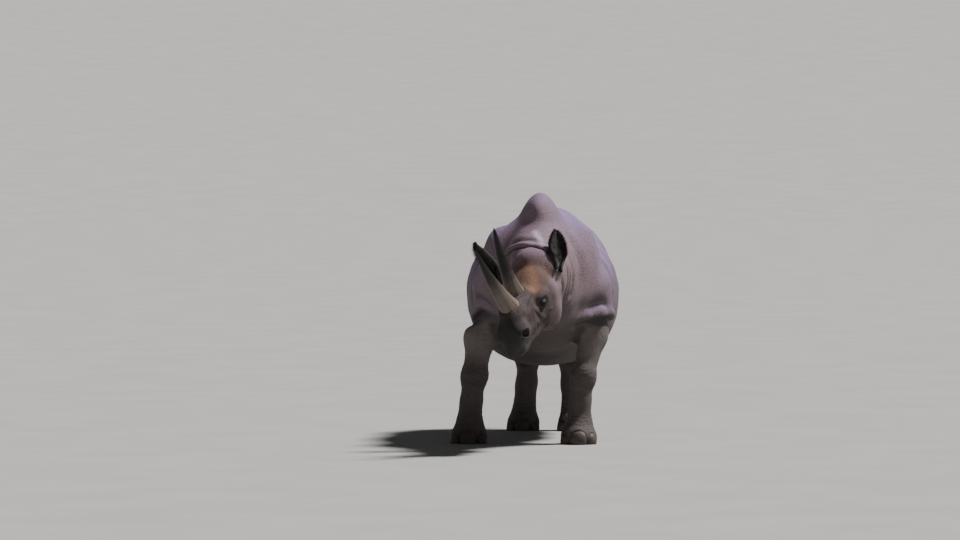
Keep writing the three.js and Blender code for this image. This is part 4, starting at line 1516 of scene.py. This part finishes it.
def bristle():
    """The one bristle that all the hair is copied from: its corners, in its own width and length, and
    its faces."""
    angle = np.radians((90, 210, 330))
    shares = np.array([0.0, 0.3, 0.6, 0.85, 1.0])[:, None]
    radius = 1 - 0.9 * shares**1.4
    rings = np.stack(np.broadcast_arrays(radius * np.cos(angle), radius * np.sin(angle), shares), axis=2)
    piece = loft("bristle", rings)
    corners = points_of(piece)
    faces = [tuple(face.vertices) for face in piece.data.polygons]
    bpy.data.objects.remove(piece)
    return corners, faces


def grow(name, roots, ways, lengths, places, hairs=5, thick=0.8, splay=0.25, sag=(0, 0, -0.2), seed=1):
    """Joined tufts of hair. Roots and ways have one column for each tuft, and places are the roots'
    places on an unwrap of the skin."""
    rng = np.random.default_rng(seed)
    corners, faces = bristle()
    roots, ways, lengths, places = (np.repeat(a, hairs, axis=-1) for a in (roots, ways, lengths, places))
    count = roots.shape[1]
    ways = ways / span(ways) + splay * rng.normal(size=(3, count))
    ways /= span(ways)
    roots = roots + 1.6 * rng.normal(size=(3, count))
    aside = np.cross(ways.T, rng.normal(size=(count, 3))).T
    aside /= span(aside)
    third = np.cross(ways.T, aside.T).T
    lengths = lengths * rng.uniform(0.65, 1.1, count)
    x, y, t = (row[:, None] for row in corners)
    bend = column(sag) + 0.12 * rng.normal(size=(3, count))
    place = [
        roots[i] + ways[i] * lengths * t + bend[i] * lengths * t**2 + thick * (x * aside[i] + y * third[i])
        for i in range(3)
    ]
    size = corners.shape[1]
    p = np.stack(place).transpose(0, 2, 1).reshape(3, -1)
    mesh = bpy.data.meshes.new(name)
    whole = [tuple(size * i + corner for corner in face) for i in range(count) for face in faces]
    mesh.from_pydata(((p + column(HUMP_AT)) * MM).T.tolist(), [], whole)
    piece = bpy.data.objects.new(name, mesh)
    bpy.context.scene.collection.objects.link(piece)
    u = places[0] + PATCH * 0.4 * x
    v = places[1] + PATCH * (t - 0.5)
    uv = np.stack([u.T.ravel(), np.broadcast_to(v, u.shape).T.ravel()], axis=1)
    loops = np.empty(len(mesh.loops), np.int32)
    mesh.loops.foreach_get("vertex_index", loops)
    layer = mesh.uv_layers.new(name="OFBake")
    layer.data.foreach_set("uv", uv[loops].astype(np.float32).ravel())
    note(piece, "tip", np.tile(corners[2], count))
    note(piece, "tone", np.repeat(rng.uniform(0, 1, count), size))
    return piece


def ear_hair(number, place, length):
    """A fringe all round the ear's rim, and shorter hair in its cup."""
    rng = np.random.default_rng(60 + number)
    rim, end, inner = 230, 90, 320  # how many tufts stand on each rim, round the tip and in the cup
    share = np.concatenate([
        np.tile(np.linspace(0.3, 0.97, rim), 2), np.full(end, 0.985), rng.uniform(0.2, 0.74, inner),
    ])
    turn = np.concatenate([
        np.full(rim, -1.0), np.full(rim, 1.0), np.linspace(-0.95, 0.95, end),
        rng.uniform(-0.92, 0.92, inner),
    ])
    cup = np.arange(share.size) >= 2 * rim + end
    roots = ear_point(place, share, turn * 0.985, np.where(cup, 10.5, 5.0))
    outward = ear_point(place, share, turn, 5.0) - ear_point(place, share, turn * 0.8, 5.0)
    outward *= smooth(0.995, 0.8, share) * 0.8 / span(outward)
    axes = ear_axes(place)[1]
    upright = column(axes[:, 2])
    ways = np.where(cup, 0.5 * column(axes[:, 1]) + 0.9 * upright, outward + 0.8 * upright)
    full = length * (0.6 + 0.4 * smooth(0.35, 0.6, share)) * window(share, 0.2, 0.36, 0.8, 1.25)
    lengths = np.where(cup, 0.6 * length, full) * rng.uniform(0.8, 1.15, share.size)
    places = np.stack([0.05 + 0.45 * number + 0.2 * (turn + 1), 0.05 + 0.9 * share])
    side = "left" if place["root"][1] > 0 else "right"
    return grow(f"ear_hair_{side}", roots, ways, lengths, places, hairs=4, seed=number + 7)


def lashes(length):
    """Short stiff lashes along both upper lids."""
    roots, ways, places = [], [], []
    for s in SIDES:
        centre, axes = eye_axes(s)
        along = np.linspace(-0.92, 0.92, 34)
        x, y = 17 * along, 8.6 * (1 - along**2) ** 0.8 + 1.5
        z = np.sqrt((EYE_RADIUS + 3.0) ** 2 - x**2 * 0.86 - y**2) - 3.5
        roots.append(centre + axes.T @ np.stack([x, y, z]))
        ways.append(axes.T @ np.stack([along * 0.4, 0.35 + 0 * along, 1 + 0 * along]))
        places.append(np.stack([0.5 + s * 0.2 + along * 0.15, 0.5 + 0 * along]))
    roots, ways, places = (np.concatenate(a, axis=1) for a in (roots, ways, places))
    lengths = np.full(roots.shape[1], length)
    return grow("eye_lashes", roots, ways, lengths, places, 3, 0.42, 0.12, (0, 0, -0.25), 3)


def tassel(length):
    """Bristles down the front and back edges of the tail's end."""
    rng = np.random.default_rng(71)
    z = rng.uniform(590, 800, 420)
    side = np.where(rng.uniform(size=z.size) < 0.5, -1, 1)
    line = curve([joint[:3] for joint in TAIL[3:]], 40)
    middle = [np.interp(z, line[2, ::-1], line[axis, ::-1]) for axis in (0, 1)]
    roots = np.stack([middle[0] + rng.normal(0, 8, z.size), middle[1] + side * rng.uniform(0, 8, z.size), z])
    ways = np.stack([rng.normal(0, 0.1, z.size), side * 0.05, np.full(z.size, -1.0)])
    lengths = length * rng.uniform(0.7, 1.1, z.size) * mix(1, 0.75, smooth(640, 590, z))
    places = np.stack([0.3 + side * 0.1 + roots[0] * 0.004, 0.1 + (z - 590) / 300])
    return grow("tail_tassel", roots, ways, lengths, places, 5, 0.9, 0.06, (0, 0, -0.1), 5)


# ------------------------------------------------------------------ the add-on's own parts


class HideSettings(bpy.types.PropertyGroup):
    """Sizes and colours of the skin."""

    inset: FloatProperty(
        name="Depth under form", description="How far the skin lies inside the solids",
        default=0.003, min=0, max=0.01, unit="LENGTH",
    )
    face_size: FloatProperty(
        name="Face size", description="Size of the skin's faces on the trunk",
        default=0.0205, min=0.012, max=0.03, unit="LENGTH",
    )
    hide_light: FloatVectorProperty(
        name="Pale hide", description="Dry hide on the back and sides", subtype="COLOR",
        default=(0.226, 0.167, 0.254),
    )
    hide_dark: FloatVectorProperty(
        name="Dark hide", description="Hide where the dust has rubbed off", subtype="COLOR",
        default=(0.145, 0.108, 0.128),
    )
    # dust on what faces up, with a painted sky sheen
    hide_dust_and_painted_sheen: FloatVectorProperty(
        name="Dust", description="Dust on what faces up", subtype="COLOR", default=(0.292, 0.213, 0.45)
    )
    # mud, darkened as painted shade
    hide_mud_and_shade: FloatVectorProperty(
        name="Mud", description="Dried mud on the legs and belly", subtype="COLOR",
        default=(0.09, 0.077, 0.067),
    )
    hide_warm: FloatVectorProperty(
        name="Warm hide", description="Reddish hide on the neck and shoulders", subtype="COLOR",
        default=(0.265, 0.178, 0.185),
    )
    # the face's skin, darkened as painted shade
    face_with_painted_shade: FloatVectorProperty(
        name="Face", description="Skin of the face", subtype="COLOR", default=(0.048, 0.032, 0.029)
    )
    rust_colour: FloatVectorProperty(
        name="Rust", description="Red earth on the forehead", subtype="COLOR", default=(0.31, 0.155, 0.095)
    )


class HornSettings(bpy.types.PropertyGroup):
    """Sizes of the horns' finish."""

    fibres: FloatProperty(
        name="Fibres", description="How coarsely the horns' feet are split into fibres",
        default=1.0, min=0, max=2,
    )


class HairSettings(bpy.types.PropertyGroup):
    """Sizes and colours of the hair."""

    ears: FloatProperty(
        name="Ear hair", description="Length of the fringe on the ears",
        default=0.030, min=0, max=0.06, unit="LENGTH",
    )
    lashes: FloatProperty(
        name="Lashes", description="Length of the lashes", default=0.011, min=0, max=0.03, unit="LENGTH"
    )
    tail: FloatProperty(
        name="Tail hair", description="Length of the bristles on the tail",
        default=0.062, min=0, max=0.2, unit="LENGTH",
    )
    dark: FloatVectorProperty(
        name="Dark hair", description="Most of the hair", subtype="COLOR", default=(0.010, 0.008, 0.008)
    )
    pale: FloatVectorProperty(
        name="Pale hair", description="Dusty and bleached hairs", subtype="COLOR",
        default=(0.085, 0.066, 0.05),
    )


class EyeSettings(bpy.types.PropertyGroup):
    """Sizes of the eyes."""

    depth: FloatProperty(
        name="Depth", description="How far the eyeballs are set back in their sockets",
        default=0.004, min=0, max=0.01, unit="LENGTH",
    )


class StageSettings(bpy.types.PropertyGroup):
    """The studio's light."""

    key: FloatProperty(name="Key light", description="Strength of the broad light from above", default=5.8)
    softness: FloatProperty(
        name="Softness", description="How broad the key light looks from the figure",
        default=math.radians(9), unit="ROTATION",
    )
    around: FloatProperty(name="Room light", description="Strength of the light from all round", default=0.07)


class RHINO_OT_skin(bpy.types.Operator):
    """Make the one skin over the trunk, neck, head, ears, tail and legs"""

    bl_idname = "rhino.skin"
    bl_label = "Skin"

    def execute(self, context):
        settings = context.scene.rhino_hide
        skin = base_skin(settings)
        sculpt(skin, context.scene.rhino_eyes.depth / MM)
        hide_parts(*FLESH, *EARS)
        dress(skin, hide_material(settings))
        return {"FINISHED"}


class RHINO_OT_horns(bpy.types.Operator):
    """Make both horns"""

    bl_idname = "rhino.horns"
    bl_label = "Horns"

    def execute(self, context):
        material = horn_material()
        for node in HORNS:
            dress(make_horn(node, context.scene.rhino_horns.fibres), material)
        return {"FINISHED"}


class RHINO_OT_eyes(bpy.types.Operator):
    """Make both eyeballs"""

    bl_idname = "rhino.eyes"
    bl_label = "Eyes"

    def execute(self, context):
        material = eye_material()
        for side in SIDES:
            dress(make_eye(side, context.scene.rhino_eyes.depth / MM), material)
        return {"FINISHED"}


class RHINO_OT_nails(bpy.types.Operator):
    """Make the three nails of each foot"""

    bl_idname = "rhino.nails"
    bl_label = "Nails"

    def execute(self, context):
        material = nail_material()
        for node in NAILS:
            dress(make_nail(node), material, sharp=40)
        return {"FINISHED"}


class RHINO_OT_hair(bpy.types.Operator):
    """Make the hair on the ears, the lids and the tail"""

    bl_idname = "rhino.hair"
    bl_label = "Hair"

    def execute(self, context):
        settings = context.scene.rhino_hair
        material = hair_material(settings)
        for number, place in enumerate(EAR_PLACES):
            dress(ear_hair(number, place, settings.ears / MM), material)
        dress(lashes(settings.lashes / MM), material)
        dress(tassel(settings.tail / MM), material)
        return {"FINISHED"}


FLOOR_UNDER = -0.0006  # how far the floor is under the soles, so that they don't share its face
KEY_WAY = (-5.0, -2.2, -8.8)
KEY_COLOUR = (1.0, 0.965, 0.94)
ROOM_COLOUR = (0.92, 0.95, 1.0, 1)
CAMERA_AT = (1.2622, -35.0597, 2.16)
CAMERA_DOWN, CAMERA_ROUND = 1.77, 2.619  # degrees below level, and round to its left


def make_floor():
    clear_selection()
    bpy.ops.mesh.primitive_circle_add(vertices=96, radius=60, fill_type="NGON", location=(0, 0, FLOOR_UNDER))
    floor = new_piece("studio_floor")
    # far off the floor turns up all round, as a studio's curved wall does
    bpy.context.tool_settings.mesh_select_mode = (False, True, False)
    open_mesh()
    for rise in (3, 10, 26, 60, 130):
        bpy.ops.mesh.extrude_edges_move(TRANSFORM_OT_translate={"value": (0, 0, rise)})
        bpy.ops.transform.resize(value=(2, 2, 1))
    close_mesh()
    bpy.ops.object.transform_apply()
    floor.data.materials.append(floor_material())


def make_lights(settings):
    bpy.ops.object.light_add(type="SUN", location=(5.0, 2.2, 9.6))
    light = bpy.context.object
    light.name = "key_light"
    light.data.energy, light.data.angle, light.data.color = settings.key, settings.softness, KEY_COLOUR
    light.rotation_euler = Vector(KEY_WAY).to_track_quat("-Z", "Y").to_euler()
    world = bpy.data.worlds.new("studio")
    world.use_nodes = True
    room = world.node_tree.nodes["Background"]
    room.inputs["Color"].default_value = ROOM_COLOUR
    room.inputs["Strength"].default_value = settings.around
    bpy.context.scene.world = world


def make_camera():
    turn = (math.radians(90 - CAMERA_DOWN), 0, math.radians(CAMERA_ROUND))
    bpy.ops.object.camera_add(location=CAMERA_AT, rotation=turn)
    camera = bpy.context.object
    camera.name = "camera"
    camera.data.lens, camera.data.sensor_width = 210, 36
    camera.data.clip_end = 6000
    bpy.context.scene.camera = camera


class RHINO_OT_stage(bpy.types.Operator):
    """Make the floor, the lights and the camera"""

    bl_idname = "rhino.stage"
    bl_label = "Stage"

    def execute(self, context):
        make_floor()
        make_lights(context.scene.rhino_stage)
        make_camera()
        return {"FINISHED"}


OPERATORS = [RHINO_OT_skin, RHINO_OT_horns, RHINO_OT_eyes, RHINO_OT_nails, RHINO_OT_hair, RHINO_OT_stage]
SETTINGS = {
    "rhino_hide": HideSettings,
    "rhino_horns": HornSettings,
    "rhino_eyes": EyeSettings,
    "rhino_hair": HairSettings,
    "rhino_stage": StageSettings,
}


class RHINO_PT_panel(bpy.types.Panel):
    """Lists the pieces of the figure and their settings"""

    bl_idname = "RHINO_PT_panel"
    bl_label = "Black rhinoceros"
    bl_space_type = "VIEW_3D"
    bl_region_type = "UI"
    bl_category = "Rhinoceros"

    def draw(self, context):
        for operator in OPERATORS:
            self.layout.operator(operator.bl_idname)
        for name, group in SETTINGS.items():
            box = self.layout.box()
            for key in group.__annotations__:
                box.prop(getattr(context.scene, name), key)


def register():
    for cls in [*SETTINGS.values(), *OPERATORS, RHINO_PT_panel]:
        bpy.utils.register_class(cls)
    for name, group in SETTINGS.items():
        setattr(bpy.types.Scene, name, PointerProperty(type=group))


def unregister():
    for name in SETTINGS:
        delattr(bpy.types.Scene, name)
    for cls in reversed([*SETTINGS.values(), *OPERATORS, RHINO_PT_panel]):
        bpy.utils.unregister_class(cls)


def main():
    register()
    for step in ("stage", "skin", "horns", "eyes", "nails", "hair"):
        getattr(bpy.ops.rhino, step)()


if __name__ == "__main__":
    main()
